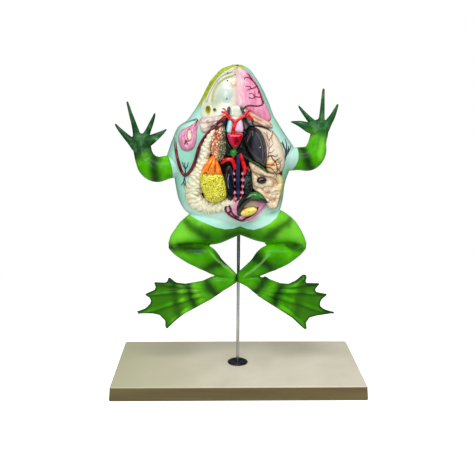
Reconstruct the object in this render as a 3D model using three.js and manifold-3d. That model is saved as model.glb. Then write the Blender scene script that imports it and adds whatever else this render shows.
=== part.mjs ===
// Frog dissection model on a display stand.
// A frog stands upright on a steel rod, belly forward, opened to show its organs in high relief.
// X runs to the frog's own left, Y runs from belly to back, Z runs up, all in millimetres.
// The origin is the centre of the underside of the base.
import * as THREE from "three";
import { mergeVertices } from "three/addons/utils/BufferGeometryUtils.js";
import Module from "manifold-3d";

const wasm = await Module();
wasm.setup();

// Clearances
const seam = 0.3;
const turningFit = 0.4;

// Stand: a moulded base, open underneath
const baseWidth = 363;
const baseDepth = 178;
const baseHeight = 20;
const baseDraft = 1.5;
const baseCorner = 3;
const baseEdge = 2;
const baseWall = 3;
const ribWall = 2.4;
const ribLift = 4;
const bossDiameter = 34;
const bossHeight = 10;

// Rod, its bush in the base and its socket in the frog
const rodDiameter = 4.8;
const rodTop = 286;
const rodBite = 12.5;
const flangeDiameter = 30.5;
const flangeHeight = 2.8;
const bushRingDiameter = 26.5;
const bushDishDiameter = 15;
const bushBodyDiameter = 16;
const nutDiameter = 24;
const nutHeight = 4;
const socketWall = 3;
const socketLip = 2.5;
const socketEntry = 227;
const bossWall = 4;

// Frog body
const bodyWall = 4;
const partingY = -8;
const bodySquareness = 2.4;
const bodySides = 22;
const hollowSides = 12;
const eyeDiameter = 20;
const eyeSpacing = 40;
const eyeHeight = 420;

// Depth of the organ tray, as Y values in front of the rod
const trayFloor = -15;
const organRim = -30;
const headFloor = -13;
const skinBite = 2.5;

// Legs are one pattern, mirrored about this plane
const legPlane = -3;

const green = new THREE.Color(0.2, 0.56, 0.06);
const skin = new THREE.Color(0.66, 0.83, 0.78);

// Solids

// Closes a surface given as points and triangles, with its faces turned outwards.
function closedSolid(points, triangles) {
  const kept = triangles.filter(([a, b, c]) => a !== b && b !== c && c !== a);
  let volume = 0;
  for (const [a, b, c] of kept) {
    volume += points[a].dot(new THREE.Vector3().crossVectors(points[b], points[c]));
  }
  const facing = volume < 0 ? kept.map(([a, b, c]) => [a, c, b]) : kept;
  return new wasm.Manifold(
    new wasm.Mesh({
      numProp: 3,
      vertProperties: new Float32Array(points.flatMap((p) => [p.x, p.y, p.z])),
      triVerts: new Uint32Array(facing.flat()),
    }),
  );
}

// The solid of a closed three.js geometry.
function solidOf(geometry) {
  const bare = geometry.clone();
  bare.deleteAttribute("normal");
  bare.deleteAttribute("uv");
  const merged = mergeVertices(bare, 1e-4);
  const position = merged.getAttribute("position");
  const points = [];
  for (let i = 0; i < position.count; i++) {
    points.push(new THREE.Vector3().fromBufferAttribute(position, i));
  }
  const triangles = [];
  for (let i = 0; i < merged.index.count; i += 3) {
    triangles.push([merged.index.getX(i), merged.index.getX(i + 1), merged.index.getX(i + 2)]);
  }
  return closedSolid(points, triangles);
}

// The largest body of a solid that its neighbours have cut, without the slivers they leave.
function mainBody(solid) {
  const bodies = solid.decompose();
  return bodies.reduce((most, body) => (body.volume() > most.volume() ? body : most));
}

function centreOf(points) {
  const sum = points.reduce((total, p) => total.add(p), new THREE.Vector3());
  return sum.divideScalar(points.length);
}

// Walls from ring to ring, and a fan over the first and the last ring.
function loft(rings) {
  const sides = rings[0].length;
  const points = rings.flat();
  const triangles = [];
  for (let ring = 0; ring + 1 < rings.length; ring++) {
    for (let i = 0; i < sides; i++) {
      const a = ring * sides + i;
      const b = ring * sides + ((i + 1) % sides);
      triangles.push([a, b, b + sides], [a, b + sides, a + sides]);
    }
  }
  const first = points.push(centreOf(rings[0])) - 1;
  const last = points.push(centreOf(rings.at(-1))) - 1;
  const lastRing = (rings.length - 1) * sides;
  for (let i = 0; i < sides; i++) {
    const next = (i + 1) % sides;
    triangles.push([first, next, i], [last, lastRing + i, lastRing + next]);
  }
  return closedSolid(points, triangles);
}

// Reads a table whose rows start with a height: the other columns, smoothed between the rows.
function smoothRow(rows, height) {
  const last = rows.length - 1;
  const z = THREE.MathUtils.clamp(height, rows[0][0], rows[last][0]);
  let i = 0;
  while (i < last - 1 && z > rows[i + 1][0]) i++;
  const span = rows[i + 1][0] - rows[i][0];
  const t = (z - rows[i][0]) / span;
  const slope = (k, column) => {
    const before = rows[Math.max(k - 1, 0)];
    const after = rows[Math.min(k + 1, last)];
    return (after[column] - before[column]) / (after[0] - before[0]);
  };
  return rows[i].slice(1).map((value, index) => {
    const column = index + 1;
    const rise = rows[i + 1][column] - value;
    const startSlope = slope(i, column) * span;
    const endSlope = slope(i + 1, column) * span;
    const bend = startSlope + endSlope - 2 * rise;
    return value + t * (startSlope + t * (rise - startSlope - bend + t * bend));
  });
}

// A limb, vessel or duct: ellipses along a smooth path, with round or flat ends.
// Each path point is [x, y, z, half width, half depth].
function sweep({ path, sides = 10, steps = 2, roundStart = true, roundEnd = true, caps = 2 }, grow = 0) {
  const curve = new THREE.CatmullRomCurve3(path.map(([x, y, z]) => new THREE.Vector3(x, y, z)));
  const rows = path.map(([, , , width, depth = width], i) => [i / (path.length - 1), width, depth]);
  const across = new THREE.Vector3(0, 1, 0);
  const ringAt = (t, shrink, reach) => {
    const along = curve.getTangent(t);
    const centre = curve.getPoint(t).addScaledVector(along, reach);
    const side = new THREE.Vector3().crossVectors(along, across).normalize();
    const front = new THREE.Vector3().crossVectors(side, along).normalize();
    const [width, depth] = smoothRow(rows, t);
    const ring = [];
    for (let i = 0; i < sides; i++) {
      const angle = (2 * Math.PI * i) / sides;
      const point = centre.clone();
      point.addScaledVector(side, (width + grow) * shrink * Math.cos(angle));
      point.addScaledVector(front, (depth + grow) * shrink * Math.sin(angle));
      ring.push(point);
    }
    return ring;
  };
  const endDepth = (t) => Math.min(...smoothRow(rows, t)) + grow;
  const capAngles = (caps === 1 ? [50] : [70, 38]).map(THREE.MathUtils.degToRad);
  const rings = [];
  if (roundStart) {
    for (const a of capAngles) rings.push(ringAt(0, Math.cos(a), -endDepth(0) * Math.sin(a)));
  }
  const count = steps * (path.length - 1);
  for (let i = 0; i <= count; i++) {
    const reach = i === 0 && !roundStart ? -grow : i === count && !roundEnd ? grow : 0;
    rings.push(ringAt(i / count, 1, reach));
  }
  if (roundEnd) {
    for (const a of [...capAngles].reverse()) {
      rings.push(ringAt(1, Math.cos(a), endDepth(1) * Math.sin(a)));
    }
  }
  return loft(rings);
}

// An organ or muscle in relief: a closed outline in X and Z, straight sides from its floor up to
// its edge, and a rounded crown over them. The edge is a Y value or follows a surface.
function relief({ outline, floor, edge, rise, points = 18, rings = 2 }, grow = 0) {
  const edgeAt = typeof edge === "function" ? edge : () => edge;
  const curve = new THREE.CatmullRomCurve3(
    outline.map(([x, z]) => new THREE.Vector3(x, 0, z)),
    true,
  );
  const border = [];
  for (let i = 0; i < points; i++) {
    const t = i / points;
    const along = curve.getTangentAt(t);
    border.push({ at: curve.getPointAt(t), out: new THREE.Vector3(along.z, 0, -along.x) });
  }
  const centre = centreOf(border.map((b) => b.at));
  const turn = border.reduce((sum, b) => sum + b.out.dot(b.at.clone().sub(centre)), 0);
  const outward = turn < 0 ? -1 : 1;
  const rim = border.map((b) => b.at.clone().addScaledVector(b.out, outward * grow));
  const ringAt = (scale, depth) =>
    rim.map((p) => {
      const point = centre.clone().lerp(p, scale);
      point.y = depth(point);
      return point;
    });
  const sections = [ringAt(1, () => floor + grow)];
  for (let i = 0; i < rings; i++) {
    const angle = (i / rings) * (Math.PI / 2);
    sections.push(
      ringAt(Math.cos(angle), (p) => edgeAt(p.x, p.z) - grow - rise * Math.sin(angle)),
    );
  }
  const last = 0.12;
  sections.push(ringAt(last, (p) => edgeAt(p.x, p.z) - grow - rise));
  return loft(sections);
}

// Points of an ellipse in X and Z, turned by some degrees, for the outline of a relief.
function oval(x, z, halfWidth, halfHeight, turnDegrees = 0, points = 8) {
  const turn = THREE.MathUtils.degToRad(turnDegrees);
  return Array.from({ length: points }, (_, i) => {
    const angle = (2 * Math.PI * i) / points;
    const across = halfWidth * Math.cos(angle);
    const up = halfHeight * Math.sin(angle);
    return [
      x + across * Math.cos(turn) - up * Math.sin(turn),
      z + across * Math.sin(turn) + up * Math.cos(turn),
    ];
  });
}

function ellipsoid([x, y, z], [rx, ry, rz], widthSegments = 10, heightSegments = 7) {
  const sphere = new THREE.SphereGeometry(1, widthSegments, heightSegments);
  return solidOf(sphere.scale(rx, ry, rz).translate(x, y, z));
}

// A cylinder that stands on the height z.
function upright(diameter, z, height, sides = 18) {
  const cylinder = new THREE.CylinderGeometry(diameter / 2, diameter / 2, height, sides);
  return solidOf(cylinder.rotateX(Math.PI / 2).translate(0, 0, z + height / 2));
}

function join(...solids) {
  return solids.reduce((all, solid) => all.add(solid));
}

// Scene graph

const model = new THREE.Group();

function place(name, solid, color, roughness = 0.35, metalness = 0) {
  const made = solid.getMesh();
  const geometry = new THREE.BufferGeometry();
  geometry.setAttribute("position", new THREE.BufferAttribute(made.vertProperties, made.numProp));
  geometry.setIndex(new THREE.BufferAttribute(made.triVerts, 1));
  geometry.computeVertexNormals();
  const mesh = new THREE.Mesh(
    geometry,
    new THREE.MeshStandardMaterial({ color, roughness, metalness }),
  );
  mesh.name = name;
  model.add(mesh);
}

// Stand

// A level ring of the base: a rectangle with rounded corners.
function baseRing(z, width, depth, corner) {
  const ring = [];
  const turns = 2;
  for (let quarter = 0; quarter < 4; quarter++) {
    const sx = quarter === 0 || quarter === 3 ? 1 : -1;
    const sy = quarter < 2 ? 1 : -1;
    for (let i = 0; i <= turns; i++) {
      const angle = ((quarter + i / turns) * Math.PI) / 2;
      const x = sx * (width / 2 - corner) + corner * Math.cos(angle);
      const y = sy * (depth / 2 - corner) + corner * Math.sin(angle);
      ring.push(new THREE.Vector3(x, y, z));
    }
  }
  return ring;
}

function baseShell() {
  const drafted = (z, inset, corner) => {
    const spread = 2 * baseDraft * (1 - z / baseHeight) - 2 * inset;
    return baseRing(z, baseWidth + spread, baseDepth + spread, corner);
  };
  const outside = loft([
    drafted(0, 0, baseCorner),
    drafted(baseHeight - baseEdge, 0, baseCorner),
    drafted(baseHeight - baseEdge * 0.6, baseEdge * 0.1, baseCorner),
    drafted(baseHeight - baseEdge * 0.25, baseEdge * 0.4, baseCorner),
    drafted(baseHeight, baseEdge, baseCorner),
  ]);
  const inside = loft([
    drafted(-1, baseWall, baseCorner - 1),
    drafted(baseHeight - baseWall, baseWall, baseCorner - 1),
  ]);
  const ribHeight = baseHeight - ribLift - baseWall / 2;
  const longRib = new THREE.BoxGeometry(baseWidth - baseWall, ribWall, ribHeight);
  const crossRib = new THREE.BoxGeometry(ribWall, baseDepth - baseWall, ribHeight);
  const ribs = [longRib, crossRib].map((box) =>
    solidOf(box.translate(0, 0, ribLift + ribHeight / 2)),
  );
  const bossFoot = baseHeight - baseWall - bossHeight;
  const boss = upright(bossDiameter, bossFoot, bossHeight + baseWall / 2);
  const nutRoom = upright(nutDiameter + 4, 0, bossFoot);
  const bushHole = upright(bushBodyDiameter + 2 * seam, -1, baseHeight + 2);
  return outside.subtract(inside).add(join(...ribs).subtract(nutRoom)).add(boss).subtract(bushHole);
}

function lathe(profile, sides = 18) {
  const points = profile.map(([radius, z]) => new THREE.Vector2(radius, z));
  return solidOf(new THREE.LatheGeometry(points, sides).rotateX(Math.PI / 2));
}

const boreDiameter = rodDiameter + 2 * turningFit;
const bushFoot = baseHeight - baseWall - bossHeight - nutHeight - 1;
const rodFoot = baseHeight + flangeHeight - rodBite;

function rodBush() {
  const seat = baseHeight + seam;
  const crown = baseHeight + flangeHeight;
  return lathe([
    [0, bushFoot],
    [bushBodyDiameter / 2, bushFoot],
    [bushBodyDiameter / 2, seat],
    [flangeDiameter / 2, seat],
    [flangeDiameter / 2, crown - 1],
    [bushRingDiameter / 2, crown - 0.8],
    [bushRingDiameter / 2 - 1, crown],
    [bushDishDiameter / 2 + 2, crown],
    [bushDishDiameter / 2 - 2, crown - 1.2],
    [boreDiameter / 2, crown - 1.2],
    [boreDiameter / 2, rodFoot - seam],
    [0, rodFoot - seam],
  ]);
}

function bushNut() {
  const hole = bushBodyDiameter / 2 + seam;
  const head = baseHeight - baseWall - bossHeight - seam;
  const ring = new THREE.Shape();
  for (let i = 0; i < 6; i++) {
    const angle = (i * Math.PI) / 3;
    const x = (nutDiameter / 2) * Math.cos(angle);
    const y = (nutDiameter / 2) * Math.sin(angle);
    if (i === 0) ring.moveTo(x, y);
    else ring.lineTo(x, y);
  }
  ring.closePath();
  ring.holes.push(new THREE.Path().absarc(0, 0, hole, 0, 2 * Math.PI, true));
  const block = new THREE.ExtrudeGeometry(ring, {
    depth: nutHeight,
    bevelEnabled: false,
    curveSegments: 24,
  });
  return solidOf(block.translate(0, 0, head - nutHeight));
}

function supportRod() {
  const radius = rodDiameter / 2;
  return lathe(
    [
      [0, rodFoot],
      [radius, rodFoot],
      [radius, rodTop - radius],
      [radius * 0.7, rodTop - radius * 0.3],
      [0, rodTop],
    ],
    16,
  );
}

// Frog body

// Height, right edge, left edge, depth of the belly, depth of the back.
const bodyRows = [
  [221, 0, 10, 7, 9],
  [229, -16, 23, 14, 18],
  [240, -49, 42, 21, 28],
  [253, -74.5, 57, 27, 37],
  [270, -86, 63, 30, 43],
  [295, -91.5, 66, 32, 46],
  [314, -94.5, 72, 32, 47],
  [330, -103, 81, 32, 47],
  [345, -99.5, 79, 32, 46],
  [360, -94, 69, 31, 45],
  [376, -86, 58, 30, 42],
  [384, -74.5, 53, 29, 40.5],
  [392, -68, 48, 28, 39],
  [412, -55, 40, 25, 34],
  [432, -45, 30, 22, 27],
  [447, -34, 20, 17, 20],
  [456, -24, 12, 11, 13],
  [461, -10, 2, 4, 5],
];
const bodyFoot = bodyRows[0][0];
const bodyTop = bodyRows.at(-1)[0];

function bodyRing(z, inset, sides) {
  const [right, left, belly, back] = smoothRow(bodyRows, z);
  const halfWidth = Math.max((left - right) / 2 - inset, 1);
  const middle = (left + right) / 2;
  const power = 2 / bodySquareness;
  const ring = [];
  for (let i = 0; i < sides; i++) {
    const angle = (2 * Math.PI * i) / sides;
    const c = Math.cos(angle);
    const s = Math.sin(angle);
    const depth = Math.max((s < 0 ? belly : back) - inset, 1);
    const x = middle + halfWidth * Math.sign(c) * Math.abs(c) ** power;
    const y = depth * Math.sign(s) * Math.abs(s) ** power;
    ring.push(new THREE.Vector3(x, y, z));
  }
  return ring;
}

// The whole trunk and head, made larger by a negative inset and smaller by a positive one.
function trunk(inset, sides = bodySides, rows = bodyRows) {
  const rings = rows.map(([z]) => {
    const shift = z === bodyFoot ? inset : z === bodyTop ? -inset : 0;
    const ring = bodyRing(z, inset, sides);
    ring.forEach((point) => (point.z += shift));
    return ring;
  });
  return loft(rings);
}

// Y of the belly skin at a place on the front.
function skinAt(x, z) {
  const [right, left, belly] = smoothRow(bodyRows, z);
  const share = Math.min(Math.abs(x - (left + right) / 2) / ((left - right) / 2), 0.97);
  return -belly * (1 - share ** bodySquareness) ** (1 / bodySquareness);
}

const sunkSkin = (x, z) => Math.min(skinAt(x, z) + skinBite, trayFloor - 1);

// A block that holds everything behind the parting plane, or in front of it.
function behind(y) {
  const size = 600;
  return solidOf(new THREE.BoxGeometry(size, size, size).translate(0, y + size / 2, bodyTop / 2));
}

const socketDiameter = boreDiameter + 2 * socketWall;
const socketTop = rodTop + seam + socketWall;

function rodSocket() {
  const outer = socketDiameter / 2;
  return lathe(
    [
      [boreDiameter / 2, socketEntry],
      [outer + socketLip, socketEntry],
      [outer + socketLip, socketEntry + socketLip],
      [outer, socketEntry + socketLip],
      [outer, socketTop],
      [0, socketTop],
      [0, rodTop + seam],
      [boreDiameter / 2, rodTop + seam],
      [boreDiameter / 2, socketEntry],
    ],
    16,
  );
}

function socketRoom() {
  const outer = socketDiameter / 2 + seam;
  return join(
    upright(2 * outer, bodyFoot - 10, socketTop + seam - bodyFoot + 10, 12),
    upright(2 * (outer + socketLip), bodyFoot - 10, socketEntry + socketLip + seam - bodyFoot + 10, 12),
  );
}

function eyeCentre(side) {
  const [right, left, , back] = smoothRow(bodyRows, eyeHeight);
  return [(left + right) / 2 + (side * eyeSpacing) / 2, back - eyeDiameter * 0.3, eyeHeight];
}

function backShell() {
  const outside = trunk(0);
  const lids = [1, -1].map((side) => {
    const [x, y, z] = eyeCentre(side);
    const lid = eyeDiameter / 2 + 3;
    return ellipsoid([x, y - 3, z], [lid, lid, lid], 10, 6);
  });
  const innerRows = bodyRows.filter((row, i) => i % 2 === 1);
  const hollow = trunk(bodyWall, hollowSides, innerRows).intersect(behind(partingY - 1));
  const bossDiameterOuter = socketDiameter + 2 * seam + 2 * bossWall;
  const bossHead = socketTop + seam + bossWall;
  const boss = upright(bossDiameterOuter, bodyFoot - 5, bossHead - bodyFoot + 5, 12);
  const webDepth = smoothRow(bodyRows, bodyFoot + 40)[3];
  const web = new THREE.BoxGeometry(bossWall, webDepth, bossHead - bodyFoot);
  const webSolid = solidOf(web.translate(0, webDepth / 2, (bossHead + bodyFoot) / 2));
  const core = join(boss, webSolid).intersect(outside).intersect(behind(partingY));
  const shell = join(outside, ...lids).intersect(behind(partingY)).subtract(hollow);
  const sockets = [1, -1].map((side) => {
    const r = eyeDiameter / 2 + seam;
    return ellipsoid(eyeCentre(side), [r, r, r], 10, 6);
  });
  return mainBody(shell.add(core).subtract(socketRoom()).subtract(join(...sockets)));
}

function eyeball(side) {
  const r = eyeDiameter / 2;
  return ellipsoid(eyeCentre(side), [r, r, r], 10, 6);
}

// Limbs

// Arms: shoulder, elbow and wrist, then the fingers from palm to tip.
const leftArm = {
  limb: [
    [64, -3, 330, 17, 14],
    [84, -6, 331.5, 16.3, 15],
    [99, -8, 332.5, 17.6, 15],
    [107.5, -8, 342, 16, 14],
    [110.3, -8, 355, 12.8, 12.5],
    [111.8, -9, 364, 12.2, 11],
  ],
  palm: [
    [111.8, -9, 362, 12.2, 11],
    [112.5, -10, 371, 12.6, 8.5],
    [113, -10, 381, 10, 7],
  ],
  fingers: [
    [[119, -9, 372, 7, 5.5], [129.9, -9, 391, 4.3, 4], [133.7, -10, 400, 2.8], [136.6, -10, 407.2, 1.5]],
    [[114, -10, 378, 6, 5], [115.4, -10, 400, 3.5, 3.8], [115.8, -10, 415, 2.6], [116.2, -10, 428.4, 1.6]],
    [[106, -10, 379, 6, 5], [91.6, -10, 394, 3, 3.2], [82.6, -10, 405, 1.2]],
    [[108, -14, 371, 6.5, 5], [97, -16, 376, 7.2, 4.6], [85, -17, 381, 4.7, 3.6], [72.2, -16, 383.9, 1.1]],
  ],
};

const rightArm = {
  limb: [
    [-80, -2, 320, 17, 13],
    [-100, -6, 319, 16.5, 15],
    [-117, -8, 315.5, 18, 15],
    [-127.5, -8, 321.8, 17.4, 14.5],
    [-133.5, -8, 331, 14.2, 13.5],
    [-135, -9, 337, 13.2, 12.5],
  ],
  palm: [
    [-135, -9, 335, 13.2, 12.5],
    [-137, -9, 345, 13, 10.5],
    [-138.5, -10, 354, 14, 8.5],
    [-139, -10, 359.5, 12.5, 7],
  ],
  fingers: [
    [[-146, -9, 348, 7, 5.5], [-160, -9, 363, 4.2, 4], [-168, -10, 372, 2.7], [-172.9, -10, 378.4, 1.4]],
    [[-143, -10, 358, 6.5, 5], [-147.5, -10, 379, 3.8, 4], [-151.3, -10, 392, 2.8], [-155.9, -10, 409, 1.5]],
    [[-134, -10, 358, 6.5, 5], [-123.6, -10, 380, 3.2, 3.4], [-118.4, -10, 393.5, 1.3]],
    [[-133, -14, 352, 7, 5], [-125, -16, 357.5, 7.2, 4.6], [-115.5, -17, 363, 5, 3.6], [-102.6, -16, 372.2, 1.1]],
  ],
};

function arm({ limb }, grow = 0) {
  return sweep({ path: limb, sides: 12, steps: 1, roundEnd: false, caps: 1 }, grow);
}

function hand({ palm, fingers }) {
  const palmSolid = sweep({ path: palm, sides: 10, steps: 1, roundStart: false, caps: 1 });
  const rays = fingers.map((path) => sweep({ path, sides: 6, steps: 1, roundStart: false, caps: 1 }));
  return join(palmSolid, ...rays);
}

// Legs: hip to knee, knee to heel, heel to instep. The first figure is the distance from the plane
// between the legs. Side is 1 for the frog's left leg and -1 for its right one.
const leftLeg = {
  thigh: [
    [2, -2, 244, 21, 17],
    [14, -2, 240.3, 22.6, 19],
    [33, -5, 237, 25.6, 21],
    [54, -7, 233.5, 26, 21],
    [72.5, -8, 227.5, 20, 18],
    [84, -9, 221, 13, 14],
    [90.5, -9, 215.3, 9, 11],
    [95.6, -9, 208.3, 6.3, 8],
  ],
  shank: [
    [95.4, -11, 203.4, 6, 7],
    [86, -12, 197.3, 9, 10],
    [67.5, -14, 191.5, 15.5, 13],
    [48, -15, 187.3, 19.7, 14],
    [30.8, -16, 175.2, 14.6, 11],
    [17, -16, 167.6, 10, 8],
    [7, -16, 160.4, 7.4, 6.5],
  ],
  tarsus: [
    [6.2, -16, 156.6, 5.6, 6],
    [17, -16, 153, 8.4, 7],
    [29, -16, 148.2, 13.4, 6.5],
    [46, -17, 138, 16.3, 5],
  ],
};

const rightLeg = {
  thigh: [
    [2, -2, 242.5, 23, 17],
    [14, -2, 238.4, 24.8, 19],
    [33, -5, 234.3, 27.8, 21],
    [53, -7, 231.6, 25.5, 21],
    [70, -8, 225.6, 19.5, 18],
    [81, -9, 219.8, 13.6, 14],
    [88, -9, 215, 9.4, 11],
    [92.8, -9, 208.3, 6.3, 8],
  ],
  shank: [
    [92.8, -11, 203.4, 6, 7],
    [83.5, -12, 198, 8.7, 10],
    [66, -14, 193.4, 14.6, 13],
    [47, -15, 188.6, 18.5, 14],
    [30.3, -16, 176, 14, 11],
    [17, -16, 168, 10, 8],
    [7, -16, 160.4, 7.4, 6.5],
  ],
  tarsus: [
    [6.2, -16, 155.4, 6.6, 6],
    [17, -16, 151, 10.6, 7],
    [29, -16, 146.6, 14.9, 6.5],
    [46, -17, 137, 17, 5],
  ],
};

function legPath(side, rows) {
  return rows.map(([x, y, z, ...radii]) => [legPlane + side * x, y, z, ...radii]);
}

function legPiece(side, name, sides, grow = 0) {
  const rows = (side > 0 ? leftLeg : rightLeg)[name];
  return sweep({ path: legPath(side, rows), sides, steps: 1, caps: 1 }, grow);
}

const thigh = (side, grow) => legPiece(side, "thigh", 12, grow);
const shank = (side, grow) => legPiece(side, "shank", 10, grow);

// The half of space on one leg's side of the plane between the legs, with half a seam left free.
function legHalf(side) {
  const size = 600;
  const middle = legPlane + side * (size / 2 + seam / 2);
  return solidOf(new THREE.BoxGeometry(size, size, size).translate(middle, 0, bodyFoot));
}

const toes = [
  [[50, -17, 149, 4, 4], [74, -18, 145.8, 3.6, 3.6], [88, -18, 149, 3.2, 3.2], [97.5, -18, 157, 2, 2.2]],
  [[50, -17, 145, 4, 4], [86, -19, 147.5, 3.4, 3.6], [118, -19, 149.3, 1.4]],
  [[50, -17, 140, 5, 4], [92, -19, 137.5, 3.8, 3.8], [131, -19, 133, 1.4]],
  [[50, -17, 134, 5, 4], [96, -19, 119.5, 4.2, 4], [143.5, -20, 105.2, 1.2]],
  [[46, -17, 126, 5, 4], [76, -19, 108, 4, 3.8], [102.3, -19, 83, 1.6]],
];
const webOutlines = {
  left: [
    [28, 152], [41.5, 161], [48.5, 156.3], [64.8, 150], [76.6, 149.2], [86.8, 154.2], [96.8, 163.1], [101.2, 163.1],
    [103, 159.7], [101.4, 152.1], [106.1, 148.1], [120.8, 150.3], [122.4, 149], [116.3, 141.4],
    [116.8, 137.3], [121.3, 134.5], [133.3, 133.7], [133.9, 132.1], [126.1, 125.2], [124.1, 120],
    [124.1, 115.1], [132.6, 107.6], [145.6, 105.7], [144.7, 103.7], [118, 99.4], [109.1, 96.6],
    [103.8, 88.6], [105.6, 79.2], [102.2, 78], [82.3, 96.8], [35.7, 127.3],
  ],
  right: [
    [28, 152], [36.5, 160.5], [43, 156], [51.1, 153.7], [74.5, 149.4], [89.1, 151.2], [97.5, 157.5], [99.8, 158.2], [100.6, 153.6],
    [103.7, 150.9], [119.8, 151.6], [120.2, 149.1], [118.1, 144.5], [120, 139.7], [131.8, 134.6],
    [134.2, 132.3], [127.2, 127.7], [125.7, 123.1], [126.9, 118.5], [133.7, 111.5], [147.4, 106.1],
    [142.7, 103.5], [123.6, 103.5], [113.3, 101.1], [105.1, 92.1], [105, 82.7], [103.3, 81.3],
    [82.4, 100], [42.4, 119.1],
  ],
};
const webThickness = 3;
const webBack = -14;

function foot(side) {
  const outline = webOutlines[side > 0 ? "left" : "right"];
  const shape = new THREE.Shape(outline.map(([x, z]) => new THREE.Vector2(legPlane + side * x, z)));
  const web = new THREE.ExtrudeGeometry(shape, { depth: webThickness, bevelEnabled: false });
  const rays = toes.map((path) => {
    return sweep({ path: legPath(side, path), sides: 6, steps: 1, roundStart: false, caps: 1 });
  });
  return join(
    legPiece(side, "tarsus", 10),
    solidOf(web.rotateX(Math.PI / 2).translate(0, webBack, 0)),
    ...rays,
  );
}

// Organs and muscles. Each shape gives its solid, and the room that it takes from its neighbours:
// its own outline grown by the seam, and open to the front so that it can be seated from there.

const liftOut = 60;

const inRelief = (data) => ({
  solid: () => relief(data),
  room: () => relief({ ...data, edge: organRim - liftOut, rise: 1, rings: 1 }, seam),
});

const tube = (data) => ({
  solid: () => sweep(data),
  room: () => sweep(data, seam),
});

const together = (...shapes) => ({
  solid: () => join(...shapes.map((shape) => shape.solid())),
  room: () => join(...shapes.map((shape) => shape.room())),
});

// A vessel of one radius, through points [x, y, z].
const vessel = (radius, path, steps = path.length > 5 ? 1 : 2) =>
  tube({ path: path.map((point) => [...point, radius]), sides: 6, steps, caps: 1 });

// Points on the belly skin, in front of it by some millimetres.
const onSkin = (ahead, path) => path.map(([x, z]) => [x, skinAt(x, z) - ahead, z]);

const gallBladder = inRelief({
  outline: oval(-9, 343, 4.8, 4.8),
  floor: trayFloor,
  edge: organRim - 9,
  rise: 5,
  points: 12,
});

// Heart: the ventricle hangs point down under two atria, and the red trunk forks in front.
const ventricle = inRelief({
  outline: [[-18, 368], [-7, 370.5], [4, 368], [3, 360], [-1, 352], [-7, 348], [-13, 353], [-17.5, 361]],
  floor: trayFloor,
  edge: organRim - 6,
  rise: 9,
  points: 16,
});
const rightAtrium = inRelief({
  outline: [[-15, 389], [-10, 386], [-10, 376], [-14, 370], [-18.5, 372], [-18, 381]],
  floor: trayFloor,
  edge: organRim - 6,
  rise: 5,
  points: 14,
});
const leftAtrium = inRelief({
  outline: [[-6, 385], [1, 389], [4, 381], [4, 372], [-4, 371], [-9.5, 373], [-9, 380]],
  floor: trayFloor,
  edge: organRim - 6,
  rise: 6,
  points: 14,
});
const trunkY = organRim - 11;
const arterialTrunk = together(
  vessel(2.4, [[-11, trunkY, 369], [-9, trunkY - 1.5, 377], [-6.5, trunkY, 385]]),
  vessel(2, [[-6.5, trunkY, 384], [-10.5, trunkY + 1, 387.5], [-14.5, trunkY + 2, 388]]),
  vessel(2, [[-6.5, trunkY, 384], [-2, trunkY + 1, 388.5], [2, trunkY + 2, 390]]),
);
// The heart lifts straight out, so nothing reaches over the fork of its trunk either.
const heartWay = inRelief({
  outline: oval(-6, 387, 12, 6),
  floor: organRim,
  edge: organRim,
  rise: 1,
  points: 16,
});

const liverLeftLobe = inRelief({
  outline: [
    [15, 378], [24, 374], [30.5, 365], [35, 352], [36.5, 339], [35, 324],
    [27, 327], [18, 334], [10, 346], [5.5, 358], [9, 370],
  ],
  floor: trayFloor,
  edge: organRim - 4,
  rise: 11,
  points: 22,
  rings: 3,
});

// Vessels around the heart
const archY = organRim - 7;
const rightArch = together(
  vessel(1.9, [[-12, archY, 388], [-19, archY, 392], [-25, archY + 2, 387.5], [-33, archY + 5, 381]]),
  vessel(1.7, [[-17, archY, 391], [-19, archY, 396], [-25, archY + 3, 398]]),
);
const leftArch = together(
  vessel(1.9, [[1, archY, 390], [9, archY, 393], [16, archY + 1, 389], [17, archY + 3, 383]]),
  vessel(1.7, [[5, archY, 392], [8, archY, 396], [14, archY + 3, 400]]),
);
const cavaY = organRim - 4;
const rightCava = vessel(2, [
  [-16, cavaY, 402], [-16.5, cavaY, 396], [-20, cavaY, 384], [-26, cavaY + 2, 376],
]);
const leftCava = vessel(1.9, [
  [2.5, cavaY, 402], [6, cavaY, 393], [8, cavaY, 385], [13, cavaY, 380.5],
  [25, cavaY, 379.5], [36, cavaY + 2, 376], [42, cavaY + 4, 371],
]);

const bladder = inRelief({
  outline: oval(13, 260.5, 12.5, 6.3, 18),
  floor: trayFloor,
  edge: organRim - 5,
  rise: 6,
  points: 18,
});

const rectumY = organRim - 7;
const rectum = tube({
  path: [
    [0, rectumY + 3, 258, 3.5],
    [1, rectumY + 1, 268, 4.8],
    [8, rectumY, 277.5, 5.4],
    [17, rectumY, 282.5, 5.4],
    [26, rectumY, 280, 4.6],
    [36, rectumY + 3, 274, 3],
  ],
  sides: 8,
  steps: 1,
  caps: 1,
});

const spleen = inRelief({
  outline: oval(30, 305, 7, 5),
  floor: trayFloor,
  edge: organRim - 9,
  rise: 5,
  points: 14,
});

const fatBody = inRelief({
  outline: [
    [-38, 338], [-32, 331], [-27, 322], [-25, 310], [-39, 312], [-53, 311], [-51, 322], [-45, 331],
  ],
  floor: trayFloor,
  edge: organRim - 7,
  rise: 5,
  points: 18,
});

const postcavalY = organRim - 7;
const postcavalVein = vessel(2.3, [
  [-2.5, postcavalY, 338], [-2.5, postcavalY, 320], [-2.5, postcavalY, 300], [-2, postcavalY, 281],
]);

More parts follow.
